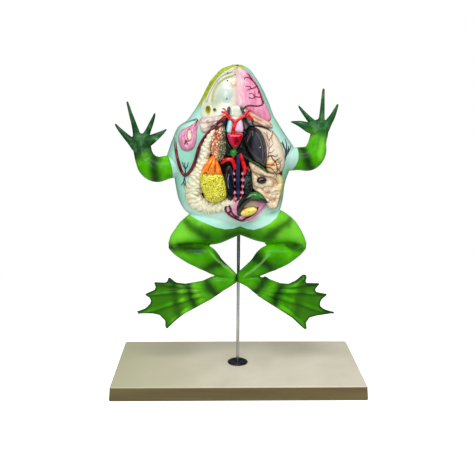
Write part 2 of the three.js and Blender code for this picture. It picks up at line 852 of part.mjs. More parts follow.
// A chain of beads beside the spine: its thickness swells once for each bead.
const beadCount = 5;
const beadRadius = 2.9;
const beadNeck = 1.4;
const beadY = organRim - 4;
function beadChain([topX, topZ], [footX, footZ]) {
  const stations = 3 * beadCount;
  const beads = Array.from({ length: stations + 1 }, (_, i) => {
    const share = i / stations;
    const swell = (1 - Math.cos(2 * Math.PI * beadCount * share)) / 1.5;
    const x = THREE.MathUtils.lerp(topX, footX, share ** 3);
    const z = THREE.MathUtils.lerp(topZ, footZ, share);
    return [x, beadY, z, beadNeck + (beadRadius - beadNeck) * swell];
  });
  const route = beads.filter((bead, i) => i % 5 === 0).map(([x, y, z]) => [x, y, z, beadRadius]);
  return {
    solid: () => sweep({ path: beads, sides: 6, steps: 1, caps: 1 }),
    room: () => sweep({ path: route, sides: 6, steps: 1, caps: 1 }, seam),
  };
}
const rightBeads = beadChain([-8.6, 318], [-5, 274]);
const leftBeads = beadChain([4.4, 318], [1.5, 274]);

const aortaY = organRim - 5;
const rightAorta = vessel(2.8, [
  [-25, aortaY + 1, 328], [-18, aortaY, 333], [-10, aortaY, 331], [-7, aortaY, 322],
]);
const leftAorta = vessel(2.8, [
  [2, aortaY, 336], [4, aortaY, 328], [7, aortaY, 320], [8, aortaY + 2, 314],
]);

const rightKidney = inRelief({
  outline: oval(-14, 301, 8, 26, 3, 10),
  floor: trayFloor,
  edge: organRim - 2,
  rise: 7,
  points: 16,
});
const leftKidney = inRelief({
  outline: oval(12.5, 300, 6.3, 22, -2, 10),
  floor: trayFloor,
  edge: organRim - 2,
  rise: 6,
  points: 16,
});

const ovary = inRelief({
  outline: [
    [-52, 310], [-39, 309], [-26, 310], [-21, 302], [-18.5, 290], [-19, 281],
    [-26, 276], [-36, 273], [-46, 279], [-50, 287], [-54, 300],
  ],
  floor: trayFloor,
  edge: organRim - 5,
  rise: 7,
});

const pancreas = inRelief({
  outline: [[37, 333], [46, 334], [54, 330], [55, 322], [47, 316], [39, 318], [36, 325]],
  floor: trayFloor,
  edge: organRim - 6,
  rise: 5,
  points: 16,
});

const bileDuct = vessel(2.2, [
  [14, organRim - 4, 331], [22, organRim - 6, 328.5], [33, organRim - 8, 323], [44, organRim - 8, 315],
]);

const stomach = inRelief({
  outline: [
    [22, 377], [35, 376.5], [46, 371], [54, 360], [60, 347], [63, 332], [61, 318],
    [52, 313], [43, 317], [36, 326], [37, 340], [36, 352], [31, 365],
  ],
  floor: trayFloor,
  edge: (x, z) => Math.min(skinAt(x, z) - 3, organRim + 8),
  rise: 8,
  points: 22,
});

const lung = inRelief({
  outline: [
    [-35, 369], [-26, 377], [-19, 375], [-17.5, 363], [-18, 347],
    [-22, 335], [-29, 329], [-37, 335], [-41, 349], [-39, 361],
  ],
  floor: trayFloor,
  edge: organRim - 1,
  rise: 8,
});

const liverMiddle = inRelief({
  outline: [
    [-18, 366], [-20.5, 350], [-20, 339], [-10, 334], [0, 335], [12, 330],
    [22, 329], [16, 345], [8, 360], [4, 371], [-7, 374],
  ],
  floor: trayFloor,
  edge: organRim + 1,
  rise: 6,
});

// The small intestine lies in runs over a shared fold of tissue, inside the fold's outline.
const gutRadius = 5.6;
const gutRuns = [
  [[20, 321], [34, 316], [50, 309]],
  [[54, 304], [57, 297], [51, 291], [38, 291]],
  [[40, 298], [26, 298], [21, 306]],
  [[27, 287], [40, 281], [53, 283]],
  [[54, 274], [47, 268], [40, 273]],
];
const gutFold = {
  outline: [
    [13, 329], [26, 324], [39, 317], [54, 313], [62, 304], [61, 290], [58, 277],
    [54, 264], [44, 262], [35, 272], [30, 282], [20, 291], [17, 300], [16, 315],
  ],
  floor: trayFloor,
  edge: (x, z) => Math.min(skinAt(x, z) - 2, organRim + 8),
  rise: 4,
  rings: 1,
};
function gut() {
  const runs = gutRuns.map((run) => {
    const path = run.map(([x, z]) => [x, Math.min(skinAt(x, z) - 3, organRim + 4), z, gutRadius]);
    return sweep({ path, sides: 6, steps: 1, caps: 1 });
  });
  const outline = relief({ ...gutFold, edge: organRim - liftOut, rise: 1, rings: 1 });
  return relief(gutFold).add(join(...runs).intersect(outline));
}
const intestine = { solid: gut, room: inRelief(gutFold).room };

// The oviduct's tight folds: a broad tube that swells and sways once for every fold.
const foldPitch = 9.4;
const foldAcross = 8.8;
const foldDepth = 9;
const foldNeck = 0.72;
const foldSway = 2.2;
const oviductRoute = [
  [-41, 366], [-47, 354], [-51, 339], [-56, 324], [-63, 306], [-69, 290],
  [-67, 275], [-55, 267], [-39, 264], [-24, 267], [-12, 273],
];
function foldedTube(stationsPerFold, swellOf) {
  const route = new THREE.CatmullRomCurve3(oviductRoute.map(([x, z]) => new THREE.Vector3(x, 0, z)));
  const folds = Math.round(route.getLength() / foldPitch);
  const stations = Math.round(folds * stationsPerFold);
  return Array.from({ length: stations + 1 }, (_, i) => {
    const share = i / stations;
    const { x, z } = route.getPointAt(share);
    const along = route.getTangentAt(share);
    const { size, sway } = swellOf(2 * Math.PI * folds * share);
    const y = Math.max(skinAt(x, z), organRim) + 2;
    return [x - along.z * sway, y, z + along.x * sway, foldAcross * size, foldDepth * size];
  });
}
const oviduct = {
  solid: () => {
    const path = foldedTube(3, (turn) => ({
      size: foldNeck + ((1 - foldNeck) * (1 - Math.cos(turn))) / 2,
      sway: foldSway * Math.sin(turn / 2),
    }));
    return sweep({ path, sides: 6, steps: 1, caps: 1 });
  },
  room: () => {
    const path = foldedTube(0.8, () => ({ size: 1 + (foldSway + 1) / foldAcross, sway: 0 }));
    return sweep({ path, sides: 7, steps: 1, caps: 1 }, seam);
  },
};

const pelvicY = organRim - 2;
const pelvicVein = vessel(1.5, [
  [-12, pelvicY + 1, 268], [-18, pelvicY + 2, 263], [-13, pelvicY + 4, 254], [-3, pelvicY + 6, 248],
  [6, pelvicY + 6, 246.5], [15, pelvicY + 4, 251], [25, pelvicY + 2, 257], [28, pelvicY + 1, 264],
]);

const cloaca = inRelief({
  outline: [
    [-26, 267], [-14, 273], [2, 277], [20, 276], [36, 271],
    [31, 261], [20, 250], [5, 243], [-10, 249], [-19, 257],
  ],
  floor: trayFloor,
  edge: (x, z) => Math.min(skinAt(x, z) - 0.5, trayFloor - 3),
  rise: 2.5,
  points: 22,
});

// Pieces that lie on the skin
const cutaneousVein = vessel(1.9, onSkin(0.4, [
  [-62, 387], [-76, 383], [-86, 373], [-89, 358], [-88, 341], [-84, 322], [-76, 310],
  [-67, 315], [-60, 330], [-53, 352], [-46, 366], [-34, 377], [-21, 383],
]));

const pectoralMuscle = inRelief({
  outline: [
    [-59, 387], [-70, 383], [-79, 373], [-85, 360], [-85, 350],
    [-80, 342], [-70, 340], [-62, 347], [-57, 361], [-56, 377],
  ],
  floor: headFloor,
  edge: sunkSkin,
  rise: 7,
  points: 16,
});

const rightShoulderMuscle = inRelief({
  outline: [
    [-56, 384], [-41, 389], [-26, 391], [-19, 384], [-27, 377], [-36, 376], [-47, 370], [-54, 372],
  ],
  floor: headFloor,
  edge: sunkSkin,
  rise: 6,
  points: 16,
});

const leftShoulderMuscle = inRelief({
  outline: [[7, 399], [18, 396], [30, 389], [43, 381], [45, 374], [34, 378], [19, 381], [8, 386]],
  floor: headFloor,
  edge: sunkSkin,
  rise: 6,
  points: 16,
});

const throatMuscle = inRelief({
  outline: [
    [-2, 454], [6, 454], [16, 446], [26, 430], [34, 412], [40, 399],
    [43, 389], [38, 384], [26, 390], [13, 399], [3, 403], [-2, 420],
  ],
  floor: headFloor,
  edge: sunkSkin,
  rise: 6,
  points: 22,
});

// The eyeball shows through the roof of the mouth as a low dome.
const orbitRadius = 16;
const orbit = inRelief({
  outline: oval(-20, 423, orbitRadius, orbitRadius),
  floor: headFloor,
  edge: sunkSkin,
  rise: 8,
  points: 16,
});

const palate = inRelief({
  outline: [
    [-5, 453], [-17, 452], [-28, 443], [-37, 431], [-44, 418], [-48, 407],
    [-51, 397], [-50, 389], [-40, 388], [-26, 392], [-14, 400], [-5, 404],
  ],
  floor: headFloor,
  edge: sunkSkin,
  rise: 3,
  points: 22,
});

const jawRim = vessel(2.6, [
  [-50, -10, 411], [-44, -11.5, 424], [-36, -12, 438], [-25, -11.5, 449],
  [-13, -9, 455.5], [-2, -7, 457.5], [8, -8, 454],
]);

// Two openings in the roof of the mouth, as [x, z, half width, half height].
const palateHoles = [
  [-44, 400, 2.8, 4.6],
  [-35, 400, 1.7, 2],
];
const holeDepth = 7;
function palateHole([x, z, halfWidth, halfHeight]) {
  const drill = new THREE.CylinderGeometry(1, 1, 2 * holeDepth, 12);
  return solidOf(drill.scale(halfWidth, 1, halfHeight).translate(x, skinAt(x, z), z));
}

// Every organ in the order in which it keeps its full shape: each makes room for those before it.
const anatomy = [
  ["gall_bladder", gallBladder, 0x1e8a34, 0.15],
  ["arterial_trunk", arterialTrunk, 0xd81c24, 0.2],
  ["ventricle", ventricle, 0xd02545, 0.2],
  ["right_atrium", rightAtrium, 0x8fd6dc, 0.2],
  ["left_atrium", leftAtrium, 0xe8a8c0, 0.2],
  ["", heartWay],
  ["liver_left_lobe", liverLeftLobe, 0x34343a, 0.1],
  ["right_aortic_arch", rightArch, 0xd81c24, 0.2],
  ["left_aortic_arch", leftArch, 0xd81c24, 0.2],
  ["right_vena_cava", rightCava, 0x20304a, 0.2],
  ["left_vena_cava", leftCava, 0x20304a, 0.2],
  ["urinary_bladder", bladder, 0xe8d45a, 0.25],
  ["rectum", rectum, 0x14301c, 0.15],
  ["spleen", spleen, 0x23151c, 0.1],
  ["fat_body", fatBody, 0xf08020, 0.3],
  ["postcaval_vein", postcavalVein, 0x2a2c58, 0.2],
  ["right_nerve_chain", rightBeads, 0xd8889c, 0.25],
  ["left_nerve_chain", leftBeads, 0xd8889c, 0.25],
  ["right_dorsal_aorta", rightAorta, 0xc81a2c, 0.2],
  ["left_dorsal_aorta", leftAorta, 0xc81a2c, 0.2],
  ["right_kidney", rightKidney, 0x101014, 0.1],
  ["left_kidney", leftKidney, 0x142420, 0.1],
  ["ovary", ovary, 0xe6d848, 0.35],
  ["pancreas", pancreas, 0xe8c070, 0.3],
  ["bile_duct", bileDuct, 0x4a7a48, 0.2],
  ["stomach", stomach, 0xe8cfae, 0.25],
  ["cutaneous_vein", cutaneousVein, 0x5c1420, 0.2],
  ["lung", lung, 0xd8a878, 0.3],
  ["liver_middle_lobe", liverMiddle, 0x18201c, 0.15],
  ["small_intestine", intestine, 0xecd4bc, 0.25],
  ["oviduct", oviduct, 0xefe3cf, 0.25],
  ["pelvic_vein", pelvicVein, 0x3c1420, 0.2],
  ["cloaca", cloaca, 0xe0a8bc, 0.25],
  ["pectoral_muscle", pectoralMuscle, 0xd88aa8, 0.25],
  ["right_shoulder_muscle", rightShoulderMuscle, 0xe6cfc0, 0.3],
  ["left_shoulder_muscle", leftShoulderMuscle, 0xdca890, 0.3],
  ["throat_muscle", throatMuscle, 0xe090b0, 0.25],
  ["eye_bulge", orbit, 0xd6e2cc, 0.25],
  ["palate", palate, 0xe4e4cc, 0.25],
  ["jaw_rim", jawRim, 0xb4c02c, 0.3],
];

// The front of the body holds every organ in a recess of its own outline.
const rooms = [];
for (const [name, shape, color, roughness] of anatomy) {
  if (name) {
    const cut = rooms.reduce((left, room) => left.subtract(room), shape.solid());
    const holes = name === "palate" ? palateHoles.map(palateHole) : [];
    place(name, mainBody(holes.reduce((left, hole) => left.subtract(hole), cut)), color, roughness);
  }
  rooms.push(shape.room());
}
const organRoom = join(...rooms);
const front = trunk(0).subtract(behind(partingY - seam));
place("belly_tray", mainBody(front.subtract(organRoom)), skin, 0.3);
place("back_shell", mainBody(backShell().subtract(organRoom)), green, 0.3);
place("left_eye", eyeball(1), 0xb08a20, 0.1);
place("right_eye", eyeball(-1), 0xb08a20, 0.1);

// Limbs are cut where they meet the trunk, and each next piece where it meets the one before.
const trunkRoom = trunk(-seam).add(organRoom);
for (const [name, pose] of [["left", leftArm], ["right", rightArm]]) {
  place(name + "_arm", mainBody(arm(pose).subtract(trunkRoom)), green, 0.3);
  place(name + "_hand", mainBody(hand(pose).subtract(arm(pose, seam))), 0x2c5a30, 0.3);
}
for (const [name, side] of [["left", 1], ["right", -1]]) {
  const half = legHalf(side);
  const hip = thigh(side).intersect(half).subtract(trunkRoom).subtract(socketRoom());
  place(name + "_thigh", mainBody(hip), green, 0.3);
  place(name + "_shank", mainBody(shank(side).intersect(half).subtract(thigh(side, seam))), green, 0.3);
  place(name + "_foot", mainBody(foot(side).intersect(half).subtract(shank(side, seam))), green, 0.3);
}

place("base_shell", baseShell(), 0xcec8b4, 0.5);
place("rod_bush", rodBush(), 0x15171a, 0.35);
place("bush_nut", bushNut(), 0x15171a, 0.4);
place("support_rod", supportRod(), 0xb8babc, 0.25, 1);
place("rod_socket", rodSocket(), 0x9a9ca0, 0.35, 1);

export default model;
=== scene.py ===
import math

import bmesh
import bpy
import numpy as np
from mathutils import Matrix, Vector, noise


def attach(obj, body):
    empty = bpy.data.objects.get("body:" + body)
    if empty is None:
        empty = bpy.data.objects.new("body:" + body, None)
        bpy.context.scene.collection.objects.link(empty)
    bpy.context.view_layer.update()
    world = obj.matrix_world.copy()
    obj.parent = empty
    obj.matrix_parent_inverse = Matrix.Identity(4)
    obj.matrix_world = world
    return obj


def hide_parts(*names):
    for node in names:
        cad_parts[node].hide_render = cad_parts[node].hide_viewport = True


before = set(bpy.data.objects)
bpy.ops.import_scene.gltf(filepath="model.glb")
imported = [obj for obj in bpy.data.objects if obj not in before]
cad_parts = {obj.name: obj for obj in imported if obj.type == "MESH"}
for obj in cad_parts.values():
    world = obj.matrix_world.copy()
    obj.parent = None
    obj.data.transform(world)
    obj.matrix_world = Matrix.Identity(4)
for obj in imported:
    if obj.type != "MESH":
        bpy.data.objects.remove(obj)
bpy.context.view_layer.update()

# Base
# The real base is a shallow tray of beige plastic, moulded with drafted sides and open underneath.
# It is one piece with a fine matt grain. Its sides are painted darker and browner than its top, and its top
# darker towards the left end, both as painted shade.
MM = 0.001


class Wire:
    """What passes from one shader node to another, worked on with plain signs."""

    def __init__(self, tree, socket):
        self.tree, self.socket = tree, socket

    def calc(self, operation, other=0.0, clamp=False):
        return put(self.tree, "Math", {0: self, 1: other}, operation=operation, use_clamp=clamp)

    def __add__(self, other):
        return self.calc("ADD", other)

    def __sub__(self, other):
        return self.calc("SUBTRACT", other)

    def __rsub__(self, other):
        return put(self.tree, "Math", {0: other, 1: self}, operation="SUBTRACT")

    def __mul__(self, other):
        return self.calc("MULTIPLY", other)

    def __truediv__(self, other):
        return self.calc("DIVIDE", other)

    def __abs__(self):
        return self.calc("ABSOLUTE")

    def vector(self, operation, other=(0, 0, 0)):
        out = 1 if operation in ("LENGTH", "DOT_PRODUCT") else 0
        return put(self.tree, "VectorMath", {0: self, 1: other}, out, operation=operation)

    def ramp(self, low, high, **how):
        """0 up to low and 1 from high on, where low may also be the greater of the two."""
        return put(self.tree, "MapRange", {0: self, 1: low, 2: high, 3: 0.0, 4: 1.0}, **how)

    def feed(self, socket):
        self.tree.links.new(self.socket, socket)


def hue(code):
    """Scene colour of a paint written as six hexadecimal digits."""
    parts = [int(code[i:i + 2], 16) / 255 for i in (0, 2, 4)]
    return [c / 12.92 if c <= 0.04045 else ((c + 0.055) / 1.055) ** 2.4 for c in parts] + [1.0]


def put(tree, kind, wires=None, out=0, **settings):
    """One shader node. wires gives an input its value, its colour code or the wire that feeds it."""
    made = tree.nodes.new("ShaderNode" + kind)
    for name, value in settings.items():
        setattr(made, name, value)
    for socket, value in (wires or {}).items():
        if isinstance(value, Wire):
            value.feed(made.inputs[socket])
        else:
            made.inputs[socket].default_value = hue(value) if isinstance(value, str) else value
    return Wire(tree, made.outputs[out])


def mixed(share, first, second):
    """Colour between first and second."""
    tree = (first if isinstance(first, Wire) else share).tree
    return put(tree, "Mix", {0: share, 6: first, 7: second}, 2, data_type="RGBA")


def place_on(tree):
    return put(tree, "TexCoord", out="Object")


def facing(tree, axis):
    """How far a surface faces along an axis."""
    return put(tree, "SeparateXYZ", {0: put(tree, "NewGeometry", out="Normal")}, axis)


def drift(place, scale, detail=2.0, **more):
    """A cloudy pattern between 0 and 1."""
    return put(place.tree, "TexNoise", {"Vector": place, "Scale": scale, "Detail": detail, **more})


def effect(name, inputs, make):
    """A shader group that several finishes use. make turns its place and inputs into its outputs."""
    kinds = {1: "NodeSocketFloat", 3: "NodeSocketVector", 4: "NodeSocketColor"}
    tree = bpy.data.node_groups.new(name, "ShaderNodeTree")
    for label, value in inputs.items():
        made = tree.interface.new_socket(label, in_out="INPUT", socket_type=kinds[np.size(value)])
        made.default_value = value
    taken = tree.nodes.new("NodeGroupInput").outputs
    found = make(place_on(tree), *(Wire(tree, taken[label]) for label in inputs))
    for label in found:
        kind = kinds[4 if label == "Colour" else 1]
        tree.interface.new_socket(label, in_out="OUTPUT", socket_type=kind)
    given = tree.nodes.new("NodeGroupOutput").inputs
    for label, wire in found.items():
        wire.feed(given[label])
    return tree


def use(tree, group, wires):
    """A shader group placed in a finish with its own values."""
    return put(tree, "Group", wires, node_tree=group)


def cast_grain(place, scale, shine, spread):
    """A fine ripple of moulded or cast plastic, and its uneven shine."""
    swing = (drift(place, 38.0, 4.0) - 0.5) * spread
    return {"Height": drift(place, scale, 3.0), "Roughness": swing.calc("ADD", shine, clamp=True)}


def wash_drift(place, colour, shade, tint, scale, stretch):
    """Brushed or moulded colour that drifts between a shade and a tint."""
    cloud = drift(put(place.tree, "Mapping", {"Vector": place, "Scale": stretch}), scale, 4.0,
                  Roughness=0.55, Distortion=0.3)
    return {"Colour": mixed(cloud.ramp(0.5, 0.72), mixed(cloud.ramp(0.5, 0.28), colour, shade), tint)}


WHITE, BLACK = (1, 1, 1, 1), (0, 0, 0, 1)
cast_surface = effect("cast_surface", {"Scale": 300.0, "Shine": 0.25, "Spread": 0.1}, cast_grain)
colour_wash = effect("colour_wash", {
    "Colour": WHITE, "Shade": BLACK, "Tint": WHITE, "Scale": 30.0, "Stretch": (1, 1, 1),
}, wash_drift)


def washed(tree, colours, scale, stretch=(1, 1, 1)):
    """The drifting wash of a colour, a shade and a tint."""
    colour, shade, tint = colours.split()
    return use(tree, colour_wash, {
        "Colour": colour, "Shade": shade, "Tint": tint, "Scale": scale, "Stretch": stretch,
    })


def new_finish(name):
    """A new material, its node tree and its Principled shader."""
    finish = bpy.data.materials.new(name)
    finish.use_nodes = True
    return finish, finish.node_tree, finish.node_tree.nodes["Principled BSDF"]


def moulded(name, colour_of, scale, shine, spread, bump, depth):
    """A finish with a cast surface, and its shader's inputs. colour_of gives its colour in a tree."""
    finish, tree, shader = new_finish(name)
    colour_of(tree).feed(shader.inputs["Base Color"])
    grain = use(tree, cast_surface, {"Scale": scale, "Shine": shine, "Spread": spread}).socket.node.outputs
    tree.links.new(grain["Roughness"], shader.inputs["Roughness"])
    height = Wire(tree, grain["Height"])
    put(tree, "Bump", {"Height": height, "Strength": bump, "Distance": depth}).feed(shader.inputs["Normal"])
    return finish, shader.inputs


def dress(node, finish):
    """Gives a CAD node its finish."""
    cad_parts[node].data.materials.clear()
    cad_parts[node].data.materials.append(finish)


def base_colours(tree):
    # Painted shade: the sides, found by their normals, take a darker brown wash, and the top darkens towards
    # the left end.
    top = washed(tree, "DCD5BF D2CBB4 E3DDCA", 14.0)
    left_end_shade = put(tree, "SeparateXYZ", {0: place_on(tree)}).ramp(-0.03, -0.17)
    side = washed(tree, "5F522B 524621 6C5F37", 16.0, (0.3, 0.3, 6.0))
    return mixed(facing(tree, 2).ramp(0.9, 0.35), mixed(left_end_shade, top, "C2C09E"), side)


base_plastic, _ = moulded("base_plastic", base_colours, scale=1600.0, shine=0.46, spread=0.12, bump=0.5,
                          depth=0.00012)
dress("base_shell", base_plastic)

# Bush and nut
# A black plastic bush is pushed through the middle of the base, with a dished crown and a raised ring.
# A hexagonal nut of the same plastic holds it from below.


def soft_black(name, tone, shine):
    """Black plastic with a soft shine."""
    def colour_of(tree):
        return washed(tree, tone + " 08090A 24272B", 90.0)
    return moulded(name, colour_of, scale=2200.0, shine=shine, spread=0.15, bump=0.4, depth=0.0001)[0]


def in_metres(points):
    return [tuple(c * MM for c in p) for p in points]


def shape(name, points, faces, body, slot, finish, stands_for=(), marks=None):
    """A piece from points in millimetres. marks gives values that its finish reads at each point."""
    mesh = bpy.data.meshes.new(name)
    mesh.from_pydata(in_metres(points), [], faces)
    form = bmesh.new()
    form.from_mesh(mesh)
    bmesh.ops.recalc_face_normals(form, faces=form.faces)
    form.to_mesh(mesh)
    form.free()
    return settle(name, mesh, body, finish, stands_for, marks)


def set_down(name, data):
    """A new object in the scene."""
    made = bpy.data.objects.new(name, data)
    bpy.context.scene.collection.objects.link(made)
    return made


def settle(name, mesh, body, finish, stands_for=(), marks=None):
    """A mesh becomes a piece that rides on its body and stands for its CAD nodes."""
    for mark, values in (marks or {}).items():
        layer = mesh.attributes.new(mark, "FLOAT", "POINT")
        layer.data.foreach_set("value", np.asarray(values, np.float32))
    mesh.shade_smooth()
    mesh.materials.clear()
    mesh.materials.append(finish)
    made = set_down(name, mesh)
    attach(made, body)
    if stands_for:
        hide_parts(*stands_for)
    return made


def turned(profile, sides=72):
    """A lathe form about the rod's axis from [radius, height] pairs. Close pairs make a crisp edge."""
    points = []
    for radius, height in profile:
        for i in range(sides):
            angle = 2 * math.pi * i / sides
            points.append((radius * math.cos(angle), radius * math.sin(angle), height))
    faces = []
    for ring in range(len(profile) - 1):
        for i in range(sides):
            a, b = ring * sides + i, ring * sides + (i + 1) % sides
            faces.append((a, b, b + sides, a + sides))
    faces.append(tuple(range(sides)))
    faces.append(tuple((len(profile) - 1) * sides + i for i in range(sides)))
    return points, faces


bush_black = soft_black("bush_black", "14161A", 0.3)
bush_profile = [
    (6.6, 2.2), (7.9, 2.2), (7.95, 2.5), (7.95, 20.1), (8.2, 20.3), (14.9, 20.3), (15.2, 20.5), (15.25, 21.2),
    (15.05, 21.6), (14.4, 21.85), (13.6, 22.0), (13.25, 22.3), (12.9, 22.7), (12.2, 22.8), (10.4, 22.78),
    (9.6, 22.6), (8.4, 22.0), (7.2, 21.65), (5.6, 21.6), (4.4, 21.6), (3.1, 21.6), (2.85, 21.4), (2.8, 20.6),
    (2.8, 12.4),
]
points, faces = turned(bush_profile)
shape("dished_bush", points, faces, "stand", "black_plastic", bush_black, ["rod_bush"])
dress("bush_nut", bush_black)

# Rod and socket
# A plain steel rod, drawn bright, stands in the bush and slides up into a turned sleeve inside the back.
# It shows fine marks along its length.


def steel_colours(tree):
    return washed(tree, "B9BBBD 8E9094 D5D7D8", 60.0, (8.0, 8.0, 0.4))


bright_steel, steel = moulded("bright_steel", steel_colours, scale=900.0, shine=0.27, spread=0.18,
                              bump=0.25, depth=0.00006)
steel["Metallic"].default_value = 1.0
points, faces = turned([
    (1.9, 10.3), (2.3, 10.35), (2.4, 10.7), (2.4, 100.0), (2.4, 200.0), (2.4, 284.0), (2.2, 285.0),
    (1.7, 285.6), (1.0, 285.9), (0.3, 286.0),
], sides=40)
shape("drawn_rod", points, faces, "rod", "bright_steel", bright_steel, ["support_rod"])
dress("rod_socket", bright_steel)

# Trunk
# The body is a hollow casting in two halves that meet along the flanks. The back is painted green and
# the front pale aqua, and the front is cut open into a shallow bay that holds the organs.

# Height, right edge, left edge, depth of the belly and depth of the back.
body_rows = [
    (221, 0, 10, 7, 9), (229, -16, 23, 14, 18), (240, -49, 42, 21, 28), (253, -74.5, 57, 27, 37),
    (270, -86, 63, 30, 43), (295, -91.5, 66, 32, 46), (314, -94.5, 72, 32, 47), (330, -103, 81, 32, 47),
    (345, -99.5, 79, 32, 46), (360, -94, 69, 31, 45), (376, -86, 58, 30, 42), (384, -74.5, 53, 29, 40.5),
    (392, -68, 48, 28, 39), (412, -55, 40, 25, 34), (432, -45, 30, 22, 27), (447, -34, 20, 17, 20),
    (456, -24, 12, 11, 13), (461, -10, 2, 4, 5),
]
# Y of the plane where the halves meet, of the bay's front edge, of its floor and of the flesh's ground.
# SQUARE says how square the trunk's section is, where 2 would be an ellipse.
PARTING = -8.0
SQUARE = 2.4
ORGAN_RIM = -30.0
TRAY = -15.0
FLESH_FLOOR = -13


def smooth_rows(rows, height):
    """The other columns of a table at a height, with the same smoothing as the CAD solid."""
    z = min(max(height, rows[0][0]), rows[-1][0])
    i = 0
    while i < len(rows) - 2 and z > rows[i + 1][0]:
        i += 1
    span = rows[i + 1][0] - rows[i][0]
    t = (z - rows[i][0]) / span
    found = []
    for column in range(1, len(rows[0])):
        def slope(k):
            before, after = rows[max(k - 1, 0)], rows[min(k + 1, len(rows) - 1)]
            return (after[column] - before[column]) / (after[0] - before[0]) * span
        value = rows[i][column]
        gain = rows[i + 1][column] - value
        bend = slope(i) + slope(i + 1) - 2 * gain
        found.append(value + t * (slope(i) + t * (gain - slope(i) - bend + t * bend)))
    return found


fine_heights = np.linspace(221, 461, 241)
fine_rows = np.array([smooth_rows(body_rows, z) for z in fine_heights])


def skin_at(places):
    """Y of the belly skin at places [x, z]."""
    right, left, belly = (np.interp(places[:, 1], fine_heights, fine_rows[:, k]) for k in range(3))
    share = np.minimum(np.abs(places[:, 0] - (left + right) / 2) / ((left - right) / 2), 0.97)
    return -belly * (1 - share ** SQUARE) ** (1 / SQUARE)


def flow(rows, t, closed=False):
    """A smooth course through the rows of a table, for t from 0 to 1."""
    spans = len(rows) if closed else len(rows) - 1
    i = min(int(t * spans), spans - 1)
    f = t * spans - i

    def row(k):
        return rows[k % len(rows)] if closed else rows[max(0, min(k, len(rows) - 1))]
    return [
        b + 0.5 * f * (c - a + f * (2 * a - 5 * b + 4 * c - d + f * (3 * (b - c) + d - a)))
        for a, b, c, d in zip(row(i - 1), row(i), row(i + 1), row(i + 2))
    ]


def run_of(line):
    """Length along a line, at each of its points."""
    return np.concatenate([[0], np.cumsum(np.hypot(*np.diff(line, axis=0).T))])


def spaced(outline, count):
    """Evenly spaced points of a closed outline with straight sides."""
    loop = np.vstack([outline, outline[:1]]).astype(float)
    along = run_of(loop)
    stops = np.linspace(0, along[-1], count, endpoint=False)
    return np.stack([np.interp(stops, along, loop[:, k]) for k in (0, 1)], 1)


def even_outline(outline, count):
    """Evenly spaced points of a closed smooth outline."""
    return spaced(np.array([flow(outline, i / 600, closed=True) for i in range(600)]), count)


def inside_by(places, border):
    """How far each place lies inside an outline, and negative outside it."""
    start, end = border, np.roll(border, -1, axis=0)
    side = end - start
    rays = places[:, None, :] - start[None]
    t = np.clip((rays * side).sum(-1) / (side * side).sum(-1), 0, 1)
    distance = np.linalg.norm(rays - t[..., None] * side, axis=-1).min(1)
    x, z = places[:, :1], places[:, 1:]
    crosses = (start[:, 1] > z) != (end[:, 1] > z)
    rise = np.where(side[:, 1] == 0, 1e-9, side[:, 1])
    hits = crosses & (x < start[:, 0] + (z - start[:, 1]) * side[:, 0] / rise)
    return np.where(hits.sum(1) % 2 == 1, distance, -distance)


# Outlines of the pieces that lift out, which the pieces round them keep clear of.
heart_outline = [
    (-19, 390), (-10, 393), (3, 392), (5, 382), (4.5, 368), (3.5, 360), (-1, 352), (-7, 347), (-13, 352),
    (-18, 361), (-19.5, 372),
]
lobe_outline = [
    (15, 378), (24, 374), (30.5, 365), (35, 352), (36.5, 339), (35, 324),
    (27, 327), (18, 334), (10, 346), (5.5, 358), (9, 370),
]
lift_borders = [even_outline(heart_outline, 90), even_outline(lobe_outline, 90)]
SEAT_PLAY = 0.6


def with_seats(places, y):
    """Keeps a surface out of the seats of the pieces that lift out."""
    for border in lift_borders:
        depth = inside_by(places, border)
        y = np.where(depth > -SEAT_PLAY, np.maximum(y, TRAY + 0.3), y)
    return y


def trunk_half(front, heights, turns):
    """Rings of one half of the trunk, from flank to flank, closed along the parting plane."""
    rings = []
    for z in heights:
        right, left, belly, back = smooth_rows(body_rows, z)
        start = (min(abs(PARTING) / belly, 0.98)) ** (SQUARE / 2)
        lean = math.asin(start)
        if front:
            angles = np.linspace(math.pi + lean, 2 * math.pi - lean, turns)
        else:
            angles = np.linspace(-lean, math.pi + lean, turns)
        c, s = np.cos(angles), np.sin(angles)
        depth = np.where(s < 0, belly, back)
        x = (left + right) / 2 + (left - right) / 2 * np.sign(c) * np.abs(c) ** (2 / SQUARE)
        y = depth * np.sign(s) * np.abs(s) ** (2 / SQUARE)
        rings.append(np.stack([x, y, np.full_like(x, z)], 1))
    return np.array(rings)


def lofted(rings):
    """Faces of a closed form from a list of rings, with a cap at both ends."""
    count, sides = rings.shape[:2]
    faces = [
        (r * sides + i, r * sides + (i + 1) % sides, (r + 1) * sides + (i + 1) % sides, (r + 1) * sides + i)
        for r in range(count - 1) for i in range(sides)
    ]
    faces.append(tuple(range(sides)))
    faces.append(tuple((count - 1) * sides + i for i in range(sides)))
    return rings.reshape(-1, 3), faces


